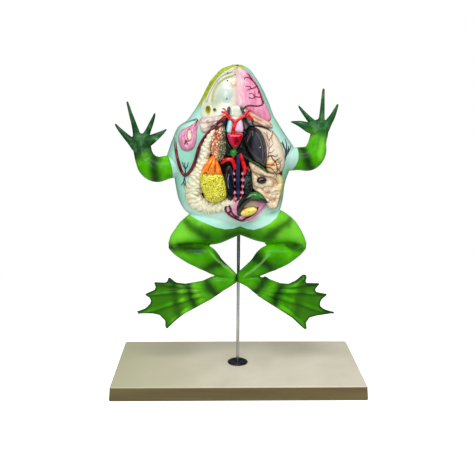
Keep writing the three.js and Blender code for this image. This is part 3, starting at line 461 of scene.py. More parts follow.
# Edge of the aqua paint above the thighs, and the outline of the bay for the organs.
paint_edge = [
    (-110, 266), (-75, 253), (-61.5, 247.4), (-47.6, 241.6), (-33.8, 235.8), (-19.9, 231.9), (-7.7, 232.3),
    (1.8, 235.9), (11.4, 232.3), (21.9, 231.6), (32.3, 235.6), (42.7, 240.9), (52.9, 249.4), (63.1, 262.1),
    (110, 300),
]
bay_outline = [
    (5, 250), (-12, 257), (-30, 262), (-50, 264), (-66, 275), (-71, 292), (-63, 312), (-53, 340), (-48, 358),
    (-38, 374), (-20, 382), (-14, 389), (-3, 391), (8, 389), (20, 382), (38, 377), (52, 364), (59, 345),
    (61, 320), (60, 300), (57, 280), (52, 266), (38, 268), (28, 260),
]
bay_border = even_outline(bay_outline, 140)
mouth_outline = [
    (-4, 453), (-17, 451), (-28, 442), (-37, 430), (-44, 417), (-49, 406), (-51, 396), (-50, 389), (-38, 389),
    (-24, 393), (-10, 402), (3, 403), (13, 399), (26, 391), (38, 385), (41, 389), (37, 400), (31, 413),
    (23, 430), (14, 444), (5, 452),
]


def rim_shade(place, colour, shade, width):
    """Painted shade in the seam round a piece: a wash near its outline, mostly darker, paler on some pieces;
    rim is 0 at its outline.
    """
    wavy = put(place.tree, "Attribute", out="Fac", attribute_name="rim") + (drift(place, 240.0) - 0.5) * 0.25
    return {"Colour": mixed(wavy.ramp(width, 0.0), colour, shade)}


def stretched_gap(place, centre, stretch):
    """Distance from a point, measured in a stretched space."""
    return {"Gap": place.vector("SUBTRACT", centre).vector("MULTIPLY", stretch).vector("LENGTH")}


hollow_shade = effect("hollow_shade", {"Colour": WHITE, "Shade": BLACK, "Width": 0.4}, rim_shade)
oval_gap = effect("oval_gap", {"Centre": (0, 0, 0), "Stretch": (1, 1, 1)}, stretched_gap)


class Brush:
    """Lays marks over the colour of a finish. x, y and z tell where a point of the piece lies."""

    def __init__(self, tree, colour):
        self.tree, self.colour, self.place = tree, colour, place_on(tree)
        split = put(tree, "SeparateXYZ", {0: self.place}).socket.node.outputs
        self.x, self.y, self.z = (Wire(tree, socket) for socket in split)

    def lay(self, colour, mask):
        self.colour = mixed(mask, self.colour, colour)

    def mark(self, name):
        return put(self.tree, "Attribute", out="Fac", attribute_name=name)

    def gap(self, centre, stretch):
        return use(self.tree, oval_gap, {"Centre": centre, "Stretch": stretch})


# Share of a full clear coat that still reads as varnished paint.
COAT_SHARE = 0.6


def gloss_paint(name, colours, scale=60.0, shine=0.2, rim=None, width=0.4, stretch=(1, 1, 1), coat=0.5,
                sheen=0.3, over=None):
    """Brushed paint under a clear gloss coat. over adds this piece's own marks to the colour."""
    def colour_of(tree):
        wash = washed(tree, colours, scale, stretch)
        if rim:
            wash = use(tree, hollow_shade, {"Colour": wash, "Shade": rim, "Width": width})
        if not over:
            return wash
        brush = Brush(tree, wash)
        over(brush)
        return brush.colour

    finish, shader = moulded(name, colour_of, scale=420.0, shine=shine, spread=0.12, bump=0.6,
                             depth=0.00008)
    shader["Specular IOR Level"].default_value = sheen
    shader["Coat Weight"].default_value = coat * COAT_SHARE
    shader["Coat Roughness"].default_value = 0.06
    return finish


def belly_marks(brush):
    x, y, z = brush.x, brush.y, brush.z
    # Painted highlights: paler patches on the frog's left flank and high on its right side.
    brush.lay("D2ECE4", x.ramp(0.036, 0.064) * z.ramp(0.316, 0.336) * 0.6)
    brush.lay("D6F2EA", x.ramp(-0.050, -0.066) * z.ramp(0.368, 0.386) * 0.65)
    brush.lay("B9D24E", x.ramp(0.052, 0.068) * z.ramp(0.32, 0.30) * 0.65)
    # Painted shade: the flanks, where the belly turns back, are painted a darker aqua.
    brush.lay("6FB8A2", y.ramp(-0.02, -0.006) * 0.6)
    # Painted light: a band of the lower belly is painted paler, against the shade where it curves down.
    brush.lay("D6FBF0", z.ramp(0.274, 0.262) * z.ramp(0.238, 0.246) * 0.75)
    brush.lay("A9BC2C", x.ramp(0.009, 0.004) * z.ramp(0.400, 0.409))
    brush.lay("EBD8D2", brush.mark("mouth") * z.ramp(0.396, 0.402))
    chin = abs(x + 0.003).ramp(0.024, 0.018) * z.ramp(0.384, 0.388)
    brush.lay("E0E4D0", chin * z.ramp(0.412, 0.406))
    pink = abs((x - 0.0264) * 0.786 - (z - 0.2572) * 0.62).ramp(0.0052, 0.0024)
    brush.lay("F2A6C2", pink * x.ramp(0.008, 0.013) * z.ramp(0.272, 0.268) * 0.9)
    # Painted shade: the bay floor between the organs is painted near black below the heart, and cream above
    # it.
    brush.lay(mixed(z.ramp(0.366, 0.386), "1C1414", "DCE2CC"), brush.mark("bay").ramp(0.0, 0.35))
    brush.lay("3C8E12", brush.mark("above").ramp(0.6, 0.4))


def back_marks(brush):
    brush.lay("27501A", drift(brush.place, 26.0).ramp(0.58, 0.66))
    head = brush.x.ramp(0.009, 0.004) * brush.z.ramp(0.402, 0.412)
    front = brush.y.ramp(0.012, 0.001) * brush.mark("above").ramp(0.4, 0.6)
    brush.lay(mixed(head, "9FD6C8", "A0C62C"), front)


AQUA = "A2DEC8 84CBB2 BEEBDC"
pale_skin = gloss_paint("pale_skin", AQUA, scale=24.0, over=belly_marks)
green_back = gloss_paint("green_back", "4CAE08 318604 74D42A", scale=30.0, shine=0.22, sheen=0.2,
                         over=back_marks)


def stood(flat, y):
    """Points in space at flat places [x, z] and depth y."""
    return np.stack([flat[:, 0], np.broadcast_to(y, len(flat)), flat[:, 1]], 1)


def above_edge(points):
    """1 above the edge of the aqua paint, 0 below it."""
    line = np.interp(points[:, 0], [p[0] for p in paint_edge], [p[1] for p in paint_edge])
    return np.clip((points[:, 2] - line) / 3 + 0.5, 0, 1)


heights = np.concatenate([np.linspace(221, 455, 150), np.linspace(456, 461, 8)])
points, faces = lofted(trunk_half(True, heights, 150))
places = points[:, [0, 2]]
depth = inside_by(places, bay_border)
sunk = np.clip(depth / 5, 0, 1)
crease = np.array([noise.fractal(Vector(p) * 0.03, 1.0, 2.0, 3) for p in points])
mouth = np.clip(inside_by(places, even_outline(mouth_outline, 120)) / 2, 0, 1)
bay = np.maximum(sunk * sunk * (3 - 2 * sunk), mouth * (points[:, 2] > 385))
y = np.minimum(with_seats(places, points[:, 1] + 7.0 * bay + 0.5 * crease * (1 - sunk)), PARTING)
shape("belly_skin", stood(places, y), faces, "frog", "pale_skin", pale_skin, ["belly_tray"],
      {"bay": np.clip(depth / 4, 0, 1), "above": above_edge(points), "mouth": mouth})

points, faces = lofted(trunk_half(False, heights, 120))
right, left, _, back = smooth_rows(body_rows, 420)
eye_centres = {side: np.array([(left + right) / 2 + side * 20, back - 6, 420]) for side in (1, -1)}
for centre in eye_centres.values():
    reach = np.linalg.norm(points - (centre + [0, -3, 0]), axis=1)
    push = np.clip((13.5 - reach) / 13.5, 0, 1)
    direction = points - (centre + [0, -9, 0])
    direction /= np.maximum(np.linalg.norm(direction, axis=1), 1e-6)[:, None]
    points = points + direction * (9.5 * push * (2 - push))[:, None]
x, y, z = points.T
ridge = np.exp(-((np.abs(x + 9) - 34) / 5) ** 2) * np.clip((z - 262) / 20, 0, 1)
ridge *= np.clip((400 - z) / 25, 0, 1) * (y > 15)
points = points + np.outer(ridge, (0, 1.8, 0))
shape("painted_back", points, faces, "frog", "green_skin", green_back, ["back_shell"],
      {"above": above_edge(points)})

# Eyes
# Two domes of gold and black plastic under a clear coat, pressed into the lids on top of the head.


def eye_marks(side):
    x, _, z = eye_centres[side] * MM

    def over(brush):
        brush.lay("08080A", brush.gap((x + side * 0.003, 0, z), (0.55, 0, 1)).ramp(0.0032, 0.0026))
    return over


SIDES = {1: "left", -1: "right"}
for side, name in SIDES.items():
    gold = gloss_paint("gold_eye_" + name, "B98C22 6E4E10 E0BC50", scale=160.0, shine=0.1, coat=1.0,
                       over=eye_marks(side))
    ball = bmesh.new()
    bmesh.ops.create_uvsphere(ball, u_segments=40, v_segments=24, radius=9.9)
    points = [tuple(eye_centres[side] + np.array(v.co)) for v in ball.verts]
    faces = [tuple(v.index for v in f.verts) for f in ball.faces]
    ball.free()
    shape(name + "_eye_dome", points, faces, "frog", "eye_gloss", gold, [name + "_eye"])

# Arms and hands
# Each arm is one casting with its hand: bright green with a soft dark band, and dark green from the
# wrist to the pointed fingertips. A low keel runs along every finger.


def swept(path, sides=24, steps=8, round_start=True, round_end=True, keel=0.0):
    """A limb, finger or vessel along points [x, y, z, half width, half depth]."""
    rows = [tuple(p[:4]) + (p[4] if len(p) > 4 else p[3],) for p in path]
    count = steps * (len(rows) - 1)
    stations = [flow(rows, i / count) for i in range(count + 1)]
    spine = np.array([s[:3] for s in stations])
    along = np.gradient(spine, axis=0)
    along /= np.linalg.norm(along, axis=1)[:, None]
    rings = []

    def ring(k, shrink, reach):
        side = np.cross(along[k], (0, 1, 0))
        side /= max(np.linalg.norm(side), 1e-6)
        front = np.cross(side, along[k])
        angles = np.linspace(0, 2 * math.pi, sides, endpoint=False)
        swell = 1 + keel * np.abs(np.sin(angles)) ** 6
        wide, deep = stations[k][3] * shrink, stations[k][4] * shrink
        offset = np.outer(wide * np.cos(angles), side) + np.outer(deep * np.sin(angles) * swell, front)
        rings.append(spine[k] + along[k] * reach + offset)

    # Latitudes of the rings that round off an end.
    caps = [math.radians(a) for a in (80, 62, 44, 24)]
    if round_start:
        for a in caps:
            ring(0, math.cos(a), -min(stations[0][3:5]) * math.sin(a))
    for k in range(count + 1):
        ring(k, 1.0, 0.0)
    if round_end:
        for a in reversed(caps):
            ring(count, math.cos(a), min(stations[-1][3:5]) * math.sin(a))
    return lofted(np.array(rings))


def joined(parts):
    """Points and faces of several forms in one list each."""
    points, faces = [], []
    for part_points, part_faces in parts:
        faces += [tuple(i + len(points) for i in face) for face in part_faces]
        points += [tuple(p) for p in part_points]
    return points, faces


def cast(name, parts, finish, stands_for, grain, relax, marks=None):
    """Parts melted into one casting, with its inner corners filled and its surface evened."""
    points, faces = joined(parts)
    rough = bpy.data.meshes.new(name + "_pattern")
    rough.from_pydata(in_metres(points), [], faces)
    pattern = set_down(name + "_pattern", rough)
    melt = pattern.modifiers.new("melt", "REMESH")
    melt.mode = "VOXEL"
    melt.voxel_size = grain * MM
    even = pattern.modifiers.new("even", "SMOOTH")
    even.factor = 0.5
    even.iterations = relax
    shapes = bpy.context.evaluated_depsgraph_get()
    mesh = bpy.data.meshes.new_from_object(pattern.evaluated_get(shapes))
    mesh.name = name
    bpy.data.objects.remove(pattern)
    flat = np.zeros(len(mesh.vertices) * 3)
    mesh.vertices.foreach_get("co", flat)
    return settle(name, mesh, "frog", finish, stands_for, marks and marks(flat.reshape(-1, 3) / MM))


def spray(place, at, across, half, reach):
    """A soft sprayed band across a limb: at is a point on it, across its direction."""
    stray = put(place.tree, "TexNoise", {"Vector": place, "Scale": 60.0, "Detail": 2.0}, "Color")
    stray = stray.vector("SUBTRACT", (0.5, 0.5, 0.5)).vector("MULTIPLY", (0.008, 0.008, 0.008))
    away = place.vector("ADD", stray).vector("SUBTRACT", at)
    offset = abs(away.vector("DOT_PRODUCT", across)) / half
    span = away.vector("LENGTH") / reach
    soft = {"interpolation_type": "SMOOTHSTEP"}
    return {"Mask": offset.ramp(2.4, 0.1, **soft) * span.ramp(1.15, 0.7, **soft)}


sprayed_band = effect("sprayed_band", {
    "At": (0, 0, 0), "Across": (1, 0, 0), "Half": 0.005, "Reach": 0.03,
}, spray)


def band(brush, x, z, across_x, across_z, half, reach, y=-12):
    return use(brush.tree, sprayed_band, {
        "At": (x * MM, y * MM, z * MM), "Across": (across_x, 0, across_z),
        "Half": half * MM, "Reach": reach * MM,
    })


def banded(bands, after):
    """Sprayed bands [x, z, across x, across z, half width, reach, strength] over a limb's green."""
    def over(brush):
        for *where, strength in bands:
            brush.lay("0F2C0C", band(brush, *where) * (0.92 * strength))
        after(brush)
    return over


def arm_marks(wrist, skin, hand, glow=None):
    """Dark green beyond the wrist, and the aqua of the belly up to a curved edge at the shoulder."""
    x, z, across_x, across_z = wrist
    far_x, bend, level, side = skin

    def after(brush):
        away = brush.place.vector("SUBTRACT", (x * MM, 0, z * MM))
        along = away.vector("DOT_PRODUCT", (across_x, 0, across_z))
        beyond = along + (drift(brush.place, 70.0) - 0.5) * 0.012
        if glow:
            # Painted highlight: a bright green stroke on the upper arm.
            brush.lay("86E63E", band(brush, *glow, 3.2, 18, y=-20) * 0.7)
        brush.lay(washed(brush.tree, hand, 90.0), beyond.ramp(-0.007, 0.012))
        above = brush.z - level * MM
        within = (above * above * bend + far_x * MM - brush.x) * side
        low = brush.z.ramp(0.362, 0.356)
        brush.lay("2C7A1E", abs(within).ramp(0.0026, 0.0006) * 0.5 * low)
        brush.lay(mixed(0.45, washed(brush.tree, AQUA, 24.0), "CBE4E2"), within.ramp(-0.0006, 0.0006) * low)
    return after


# Limb, palm and fingers as [x, y, z, half width, half depth], the dark bands, the place and direction of the
# wrist's edge, the curve of the aqua edge at the shoulder, the three greens of the hand, and for the left arm
# the place and direction of a painted highlight.
arm_data = {
    "left": {
        "limb": [(64, -3, 330, 17, 14), (84, -6, 331.5, 16.3, 15), (99, -8, 332.5, 17.6, 15),
                 (107.5, -8, 342, 16, 14), (110.3, -8, 355, 12.8, 12.5), (111.8, -9, 364, 12.2, 11)],
        "palm": [(111.8, -9, 362, 12.2, 11), (112.5, -10, 371, 12.6, 8.5), (113, -10, 381, 10, 7)],
        "fingers": [
            [(119, -9, 372, 7, 5.5), (125, -9, 383, 5.4, 4.8), (129.9, -9, 391, 4.2, 4),
             (133.7, -10, 400, 2.8), (136.6, -10, 407.2, 1.6)],
            [(114, -10, 378, 6, 5), (115, -10, 390, 4.1, 4.4), (115.4, -10, 400, 3.4, 3.8),
             (115.8, -10, 415, 2.6), (116.2, -10, 428.4, 1.7)],
            [(106, -10, 379, 6, 5), (99, -10, 386, 4.2, 4.2), (91.6, -10, 394, 3, 3.2), (86, -10, 400.6, 2.1),
             (82.6, -10, 405, 1.4)],
            [(108, -14, 371, 6.5, 5), (97, -16, 376, 7.2, 4.6), (85, -17, 381, 4.7, 3.6),
             (77, -16.5, 383, 2.4, 2.4), (72.2, -16, 383.9, 1.3)],
        ],
        "bands": [(93.6, 334.6, -0.90, -0.43, 4.6, 32, 1.0)],
        "glow": (115.4, 347, 1.0, 0.0),
        "wrist": (111.6, 362, 0.16, 0.98),
        "skin": (82.8, -16.0, 338, 1),
        "hand": "2B602E 1A4220 4E8652",
    },
    "right": {
        "limb": [(-80, -2, 320, 17, 13), (-100, -6, 319, 16.5, 15), (-117, -8, 315.5, 18, 15),
                 (-127.5, -8, 321.8, 17.4, 14.5), (-133.5, -8, 331, 14.2, 13.5), (-135, -9, 337, 13.2, 12.5)],
        "palm": [(-135, -9, 335, 13.2, 12.5), (-137, -9, 345, 13, 10.5), (-138.5, -10, 354, 14, 8.5),
                 (-139, -10, 359.5, 12.5, 7)],
        "fingers": [
            [(-146, -9, 348, 7, 5.5), (-153, -9, 356, 5.5, 4.8), (-160, -9, 363, 4.2, 4),
             (-168, -10, 372, 2.7), (-172.9, -10, 378.4, 1.5)],
            [(-143, -10, 358, 6.5, 5), (-145, -10, 369, 4.8, 4.6), (-147.5, -10, 379, 3.8, 4),
             (-151.3, -10, 392, 2.8), (-155.9, -10, 409, 1.6)],
            [(-134, -10, 358, 6.5, 5), (-128.5, -10, 369, 4.2, 4.2), (-123.6, -10, 380, 3.2, 3.4),
             (-120.2, -10, 388, 2.3), (-118.4, -10, 393.5, 1.4)],
            [(-133, -14, 352, 7, 5), (-125, -16, 357.5, 7.2, 4.6), (-115.5, -17, 363, 5, 3.6),
             (-108, -16.5, 368, 2.9, 2.6), (-102.6, -16, 372.2, 1.3)],
        ],
        "bands": [(-118.5, 318, -1.0, 0.0, 5.6, 34, 1.0), (-146, 336, 0.3, -0.95, 4.5, 14, 0.7)],
        "wrist": (-133.2, 332, -0.28, 0.96),
        "skin": (-94, -9.7, 310, -1),
        "hand": "235226 163818 427848",
    },
}
for side, data in arm_data.items():
    marks = arm_marks(data["wrist"], data["skin"], data["hand"], data.get("glow"))
    green_limb = gloss_paint(side + "_arm_green", "52B804 2E8600 8CE234", scale=24.0, shine=0.3, coat=0.14,
                             sheen=0.08, over=banded(data["bands"], marks))
    parts = [swept(data["limb"], round_end=False), swept(data["palm"], round_start=False)]
    parts += [swept(finger, sides=18, round_start=False, keel=0.16) for finger in data["fingers"]]
    cast(side + "_arm_cast", parts, green_limb, [side + "_arm", side + "_hand"],
         grain=0.9, relax=3)

# Legs and feet
# Thigh, shank and webbed foot are one casting, mirrored on the other side. Five toes stand up as ridges
# over a thin web with a scalloped edge, and dark bands cross the leg and the foot.
LEG_PLANE = -3.0
# The tables of the legs have 1 for the frog's left side and -1 for its right.
# Most bands are the frog's dark markings. The second band (the knee crease), the seventh (the crotch) and the
# last (where the heels meet) are painted shade.
leg_bands = {
    1: [(56.4, 233.3, -0.57, 0.82, 6.0, 30, 0.88), (81, 204.5, -0.1, -0.99, 4.2, 15, 0.85),
        (38, 184, -0.45, -0.89, 7.2, 24, 1.0), (31.6, 147.4, 0.82, -0.58, 6.2, 20, 1.0),
        (59.2, 138.0, -0.95, 0.33, 5.4, 28, 1.0), (91, 128, -0.97, 0.2, 5.6, 34, 0.85),
        (0, 224, 0.0, 1.0, 9.0, 22, 0.85), (19, 183, -0.73, 0.68, 2.6, 26, 0.6),
        (-2.4, 158, 1.0, 0.0, 2.3, 16.5, 1.0)],
    -1: [(-58.3, 230.7, -0.51, -0.86, 6.0, 30, 0.88), (-76, 203.8, -0.06, -1.0, 5.2, 32, 1.0),
         (-37.2, 180.0, 0.35, -0.94, 7.4, 24, 1.0), (-39.8, 142.7, -0.77, -0.64, 6.2, 20, 1.0),
         (-70.8, 134.4, -0.95, -0.31, 5.4, 28, 1.0), (-92, 126, -0.98, -0.18, 5.6, 34, 0.95),
         (-5, 224, 0.0, 1.0, 9.0, 22, 0.85), (-24, 187, 0.73, 0.68, 2.6, 26, 0.6),
         (-2.4, 158, 1.0, 0.0, 2.3, 16.5, 1.0)],
}
# Rows as [x out from the middle, y, z, half width, half depth]. The crease fills the bend of the knee.
leg_rows = {
    1: {
        "thigh": [(2, -2, 244, 21, 17), (14, -2, 240.3, 22.6, 19), (33, -5, 237, 25.6, 21),
                  (54, -7, 233.5, 26, 21), (72.5, -8, 227.5, 20, 18), (84, -9, 221, 13, 14),
                  (90.5, -9, 215.3, 9, 11), (95.6, -9, 208.3, 6.3, 8)],
        "shank": [(95.4, -11, 203.4, 6, 7), (86, -12, 197.3, 9, 10), (67.5, -14, 191.5, 15.5, 13),
                  (48, -15, 187.3, 19.7, 14), (30.8, -16, 175.2, 14.6, 11), (17, -16, 167.6, 10, 8),
                  (6.2, -16, 160.4, 7.4, 6.5)],
        "tarsus": [(5.2, -16, 156.6, 5.6, 6), (17, -16, 153.2, 8.4, 7), (29, -16, 148.9, 12.6, 6.5),
                   (46, -17, 139.4, 15, 5)],
        "crease": [(92, -5, 207.0, 4, 6), (72, -5, 207.4, 5.0, 8), (45.5, -6, 209.2, 4.4, 8)],
    },
    -1: {
        "thigh": [(2, -2, 242.5, 23, 17), (14, -2, 238.4, 24.8, 19), (33, -5, 234.3, 27.8, 21),
                  (53, -7, 231.6, 25.5, 21), (70, -8, 225.6, 19.5, 18), (81, -9, 219.8, 13.6, 14),
                  (88, -9, 215, 9.4, 11), (92.8, -9, 208.3, 6.3, 8)],
        "shank": [(92.8, -11, 203.4, 6, 7), (83.5, -12, 198, 8.7, 10), (66, -14, 193.4, 14.6, 13),
                  (47, -15, 188.6, 18.5, 14), (30.3, -16, 176, 14, 11), (17, -16, 168, 10, 8),
                  (6.2, -16, 160.4, 7.4, 6.5)],
        "tarsus": [(5.2, -16, 155.4, 6.6, 6), (17, -16, 151.4, 10.2, 7), (29.5, -16, 147.6, 14.0, 6.5),
                   (49, -17, 136.8, 15.8, 5)],
        "crease": [(89.5, -5, 206.8, 4, 6), (70, -5, 207.0, 5.0, 8), (42.5, -6, 208, 4.8, 8)],
    },
}
toes = [
    [(34, -19, 152, 4, 4), (50, -18, 149, 3.6, 3.6), (74, -17.6, 145.8, 3.0), (88, -17.6, 149, 2.8),
     (97.5, -18, 157, 2.2)],
    [(34, -20, 149, 4, 4), (50, -18.6, 145, 3.6, 3.6), (86, -18, 147.5, 2.8), (104, -18, 149.0, 2.2),
     (118, -18, 149.3, 1.6)],
    [(34, -20, 144, 4, 4), (50, -18.6, 140, 3.6, 3.6), (92, -18, 137.5, 3.0), (116, -18, 135, 2.4),
     (131, -18, 133, 1.6)],
    [(34, -19, 139, 4, 4), (50, -18, 134, 3.8, 3.6), (96, -18, 119.5, 3.3), (122, -18.4, 110.5, 2.7),
     (143.5, -18.6, 105.2, 1.4)],
    [(34, -18, 134, 4, 4), (48, -17, 126, 4, 3.6), (76, -18.4, 108, 3.2), (92, -18.4, 95, 2.9),
     (102.3, -18, 83, 2.0)],
]
web_outlines = {
    1: [(28, 152), (41.5, 161), (48.5, 156.3), (64.8, 150), (76.6, 149.2), (86.8, 154.2), (96.8, 163.1),
        (101.2, 163.1), (103, 159.7), (101.4, 152.1), (106.1, 148.1), (120.8, 150.3), (122.4, 149),
        (116.3, 141.4), (116.8, 137.3), (121.3, 134.5), (133.3, 133.7), (133.9, 132.1), (126.1, 125.2),
        (124.1, 120), (124.1, 115.1), (132.6, 107.6), (145.6, 105.7), (144.7, 103.7), (118, 99.4),
        (109.1, 96.6), (103.8, 88.6), (105.6, 79.2), (102.2, 78), (82.3, 96.8), (35.7, 127.3)],
    -1: [(28, 152), (36.5, 160.5), (43, 156), (51.1, 153.7), (74.5, 149.4), (89.1, 151.2), (97.5, 157.5),
         (99.8, 158.2), (100.6, 153.6), (103.7, 150.9), (119.8, 151.6), (120.2, 149.1), (118.1, 144.5),
         (120, 139.7), (131.8, 134.6), (134.2, 132.3), (127.2, 127.7), (125.7, 123.1), (126.9, 118.5),
         (133.7, 111.5), (147.4, 106.1), (142.7, 103.5), (123.6, 103.5), (113.3, 101.1), (105.1, 92.1),
         (105, 82.7), (103.3, 81.3), (82.4, 100), (60, 112), (46, 120.2), (34, 127)],
}


def mirrored(side, rows):
    """Rows of a leg, laid out on its own side."""
    return [(LEG_PLANE + side * x, *rest) for x, *rest in rows]


def web_slab(side):
    """The web between the toes: a thin plate with a rounded edge."""
    border = spaced(mirrored(side, web_outlines[side]), 260)
    middle = border.mean(0)
    # Share of the outline and Y of each ring, from the back of the plate to its front.
    layers = ((0.02, -13.6), (0.5, -13.6), (0.985, -13.9), (1.0, -15.3),
              (0.985, -16.7), (0.5, -17.0), (0.02, -17.0))
    return lofted(np.array([stood(middle + (border - middle) * scale, y) for scale, y in layers]))


def foot_rim(side):
    """Marks how near each point of a foot lies to the edge of its web, and to its front."""
    def marks(points):
        rim, web = np.zeros(len(points)), np.zeros(len(points))
        out = (points[:, 0] - LEG_PLANE) * side
        here = np.where((points[:, 2] < 170) & (out > 55))[0]
        depth = inside_by(points[here][:, [0, 2]], spaced(mirrored(side, web_outlines[side]), 130))
        rim[here] = np.clip(1 - depth / 4.6, 0, 1) * np.clip((out[here] - 66) / 16, 0, 1)
        web[here] = np.clip((points[here, 1] + 20.2) / 3.0, 0, 1) * np.clip((out[here] - 60) / 14, 0, 1)
        return {"rim": rim, "web": web, "above": above_edge(points)}
    return marks


# Middle and direction across of the painted highlight, a pale stroke along the inner edge of each shank.
shank_highlight_strokes = {1: (26.4, 180, -0.717, 0.697), -1: (-23.6, 181, 0.684, 0.73)}


def bare_green(brush):
    """1 where the green is bare, 0 under a dark band."""
    return put(brush.tree, "SeparateColor", {0: brush.colour}, 1).ramp(0.05, 0.30)


def foot_marks(side):
    def after(brush):
        out, z = (brush.x - LEG_PLANE * MM) * side, brush.z
        # Painted light: the upper outer part of the thigh is painted a brighter green.
        bright = out.ramp(0.050, 0.082) * z.ramp(0.202, 0.222)
        brush.lay("86E63E", bright * bare_green(brush) * 0.65)
        # Painted shade: the inner thigh by the crotch and the inner shank are painted a darker green.
        deep = out.ramp(0.050, 0.030) * z.ramp(0.20, 0.22)
        inner = z.ramp(0.202, 0.190) * out.ramp(0.074, 0.050)
        brush.lay("2C7600", (deep + inner * 0.55) * bare_green(brush) * 0.74)
        # Painted highlight along the inner edge of the shank.
        brush.lay("A8E47C", band(brush, *shank_highlight_strokes[side], 1.3, 26, y=-22) * 0.3)
        brush.lay("2A660C", out.ramp(0.084, 0.108) * z.ramp(0.17, 0.16) * 0.62)
        brush.lay("336C06", brush.mark("web") * 0.6)
        brush.lay("16361A", brush.mark("rim").ramp(0.1, 0.8) * 0.88)
        brush.lay(washed(brush.tree, AQUA, 24.0), brush.mark("above").ramp(0.4, 0.6))
    return after


for side, name in SIDES.items():
    green_leg = gloss_paint(name + "_leg_green", "4CB002 2C8000 7AD828", scale=24.0, shine=0.28, coat=0.14,
                            sheen=0.06, over=banded(leg_bands[side], foot_marks(side)))
    parts = [swept(mirrored(side, rows), sides=34) for rows in leg_rows[side].values()] + [web_slab(side)]
    parts += [swept(mirrored(side, toe), sides=16) for toe in toes]
    cast(name + "_leg_cast", parts, green_leg,
         [name + "_thigh", name + "_shank", name + "_foot"], grain=0.85, relax=3, marks=foot_rim(side))

# Mouth
# The jaw is cut away on the frog's right: a yellow-green rim, a cream palate with a ridge beside the
# rim, two olive openings, and the pale bulge of the eyeball. All are one casting, painted in parts.


def relief(outline, edge, rise, reach, form=None, floor=TRAY, seats=True, count=130, rings=20):
    """A form in relief: its points, its faces, its rim marks, and a rule for the Y of its face."""
    border = even_outline(outline, count)

    def top(places):
        share = np.clip(inside_by(places, border) / reach, 0, 1)
        start = edge(places) if callable(edge) else edge
        y = start - rise * np.sqrt(1 - (1 - share) ** 2)
        if form:
            y = y - form(places, share)
        return with_seats(places, y) if seats else y

    middle = border.mean(0)
    flats = [middle + (border - middle) * math.cos(math.pi / 2 * k / rings) for k in range(rings)]
    layers = [stood(border, floor)] + [stood(flat, top(flat)) for flat in flats]
    layers.append(layers[-1] * 0.02 + stood(middle[None], top(middle[None])) * 0.98)
    points, faces = lofted(np.array(layers))
    rim = np.clip(inside_by(points[:, [0, 2]], border) / 5, 0, 1)
    rim[:count] = 0
    return points, faces, {"rim": rim}, top


def organ(node, outline, edge, rise, reach, finish, slot, body="frog", drawn=None, **more):
    """An organ in relief that stands for its CAD node. edge is the Y of its border, rise how far it
    stands out from there and reach how wide its rounding is. drawn gives marks for its finish."""
    points, faces, marks, top = relief(outline, edge, rise, reach, **more)
    if drawn:
        marks["line"] = drawn(points[:, [0, 2]])
    shape(node + "_cast", points, faces, body, slot, finish, [node], marks)
    return top


def ripples(scale, height, octaves=2):
    """A soft uneven swell of a hand-modelled surface."""
    def form(places, share):
        waves = [noise.fractal(Vector((x * scale, z * scale, 3.1)), 1.0, 2.0, octaves) for x, z in places]
        return height * np.array(waves) * share
    return form


def oval(x, z, half_width, half_height, turn=0.0):
    """Outline of an oval, turned by some degrees."""
    turn = math.radians(turn)
    found = []
    for a in np.linspace(0, 2 * math.pi, 10, endpoint=False):
        across, up = half_width * math.cos(a), half_height * math.sin(a)
        found.append((x + across * math.cos(turn) - up * math.sin(turn),
                      z + across * math.sin(turn) + up * math.cos(turn)))
    return found


def sunk_skin(places):
    """Y a little under the belly skin, where the flesh at the rim of the bay starts."""
    return np.minimum(skin_at(places) + 2.5, TRAY - 1)


def line_distance(places, line):
    """Distance of places to an open smooth line."""
    fine = np.array([flow(line, i / 60) for i in range(61)])
    return np.linalg.norm(places[:, None] - fine[None], axis=-1).min(1)


ridge_line = [(-46.5, 412), (-43, 422), (-37, 433), (-29.5, 443), (-21.5, 448.5), (-13, 451.5)]
orbit_line = [(-38, 412), (-37, 421), (-33.5, 430), (-27.5, 438), (-19.5, 443.5), (-10, 447)]
palate_holes = [(-44, 400, 3.2, 5.0), (-35, 400, 2.0, 2.3)]


def palate_form(places, share):
    ridge = 1.5 * np.exp(-(line_distance(places, ridge_line) / 1.3) ** 2)
    fold = np.exp(-(line_distance(places, orbit_line) / 1.4) ** 2)
    pits = np.zeros(len(places))
    for x, z, wide, tall in palate_holes:
        away = np.hypot((places[:, 0] - x) / wide, (places[:, 1] - z) / tall)
        pits += 3.2 * np.clip((1.05 - away) / 0.5, 0, 1) - 0.8 * np.exp(-((away - 1.25) / 0.22) ** 2)
    return (ridge + fold) * share - pits


def palate_lines(places):
    """The golden-olive line beside the two ridges: partly the palate's paint, partly painted shade in the
    groove.
    """
    outer = np.exp(-((line_distance(places, ridge_line) - 1.2) / 0.8) ** 2) * 0.6
    inner = np.exp(-((line_distance(places, orbit_line) - 0.8) / 1.0) ** 2)
    return np.maximum(outer, inner)


def palate_marks(brush):
    brush.lay("A8A060", brush.mark("line") * 0.75)
    for x, z, wide, tall in palate_holes:
        away = brush.gap((x * MM, 0, z * MM), (1 / (wide * MM), 0, 1 / (tall * MM)))
        brush.lay("B4A61C", away.ramp(1.35, 1.0))
        brush.lay("7A6A10", away.ramp(0.8, 0.4))
    brush.lay("E6CDC0", brush.x.ramp(-0.016, -0.005) * 0.75)
    patch = brush.gap((-0.0095, 0, 0.4345), (1, 0, 1.5)).ramp(0.0085, 0.003)
    brush.lay("D49A60", patch * drift(brush.place, 260.0, 3.0).ramp(0.36, 0.52) * 0.8)
    rim = brush.mark("rim")
    lip = rim.ramp(0.48, 0.36) * brush.z.ramp(0.410, 0.418) * brush.x.ramp(-0.006, -0.009)
    brush.lay(mixed(rim.ramp(0.2, 0.34), "A9C02A", "86921C"), lip)


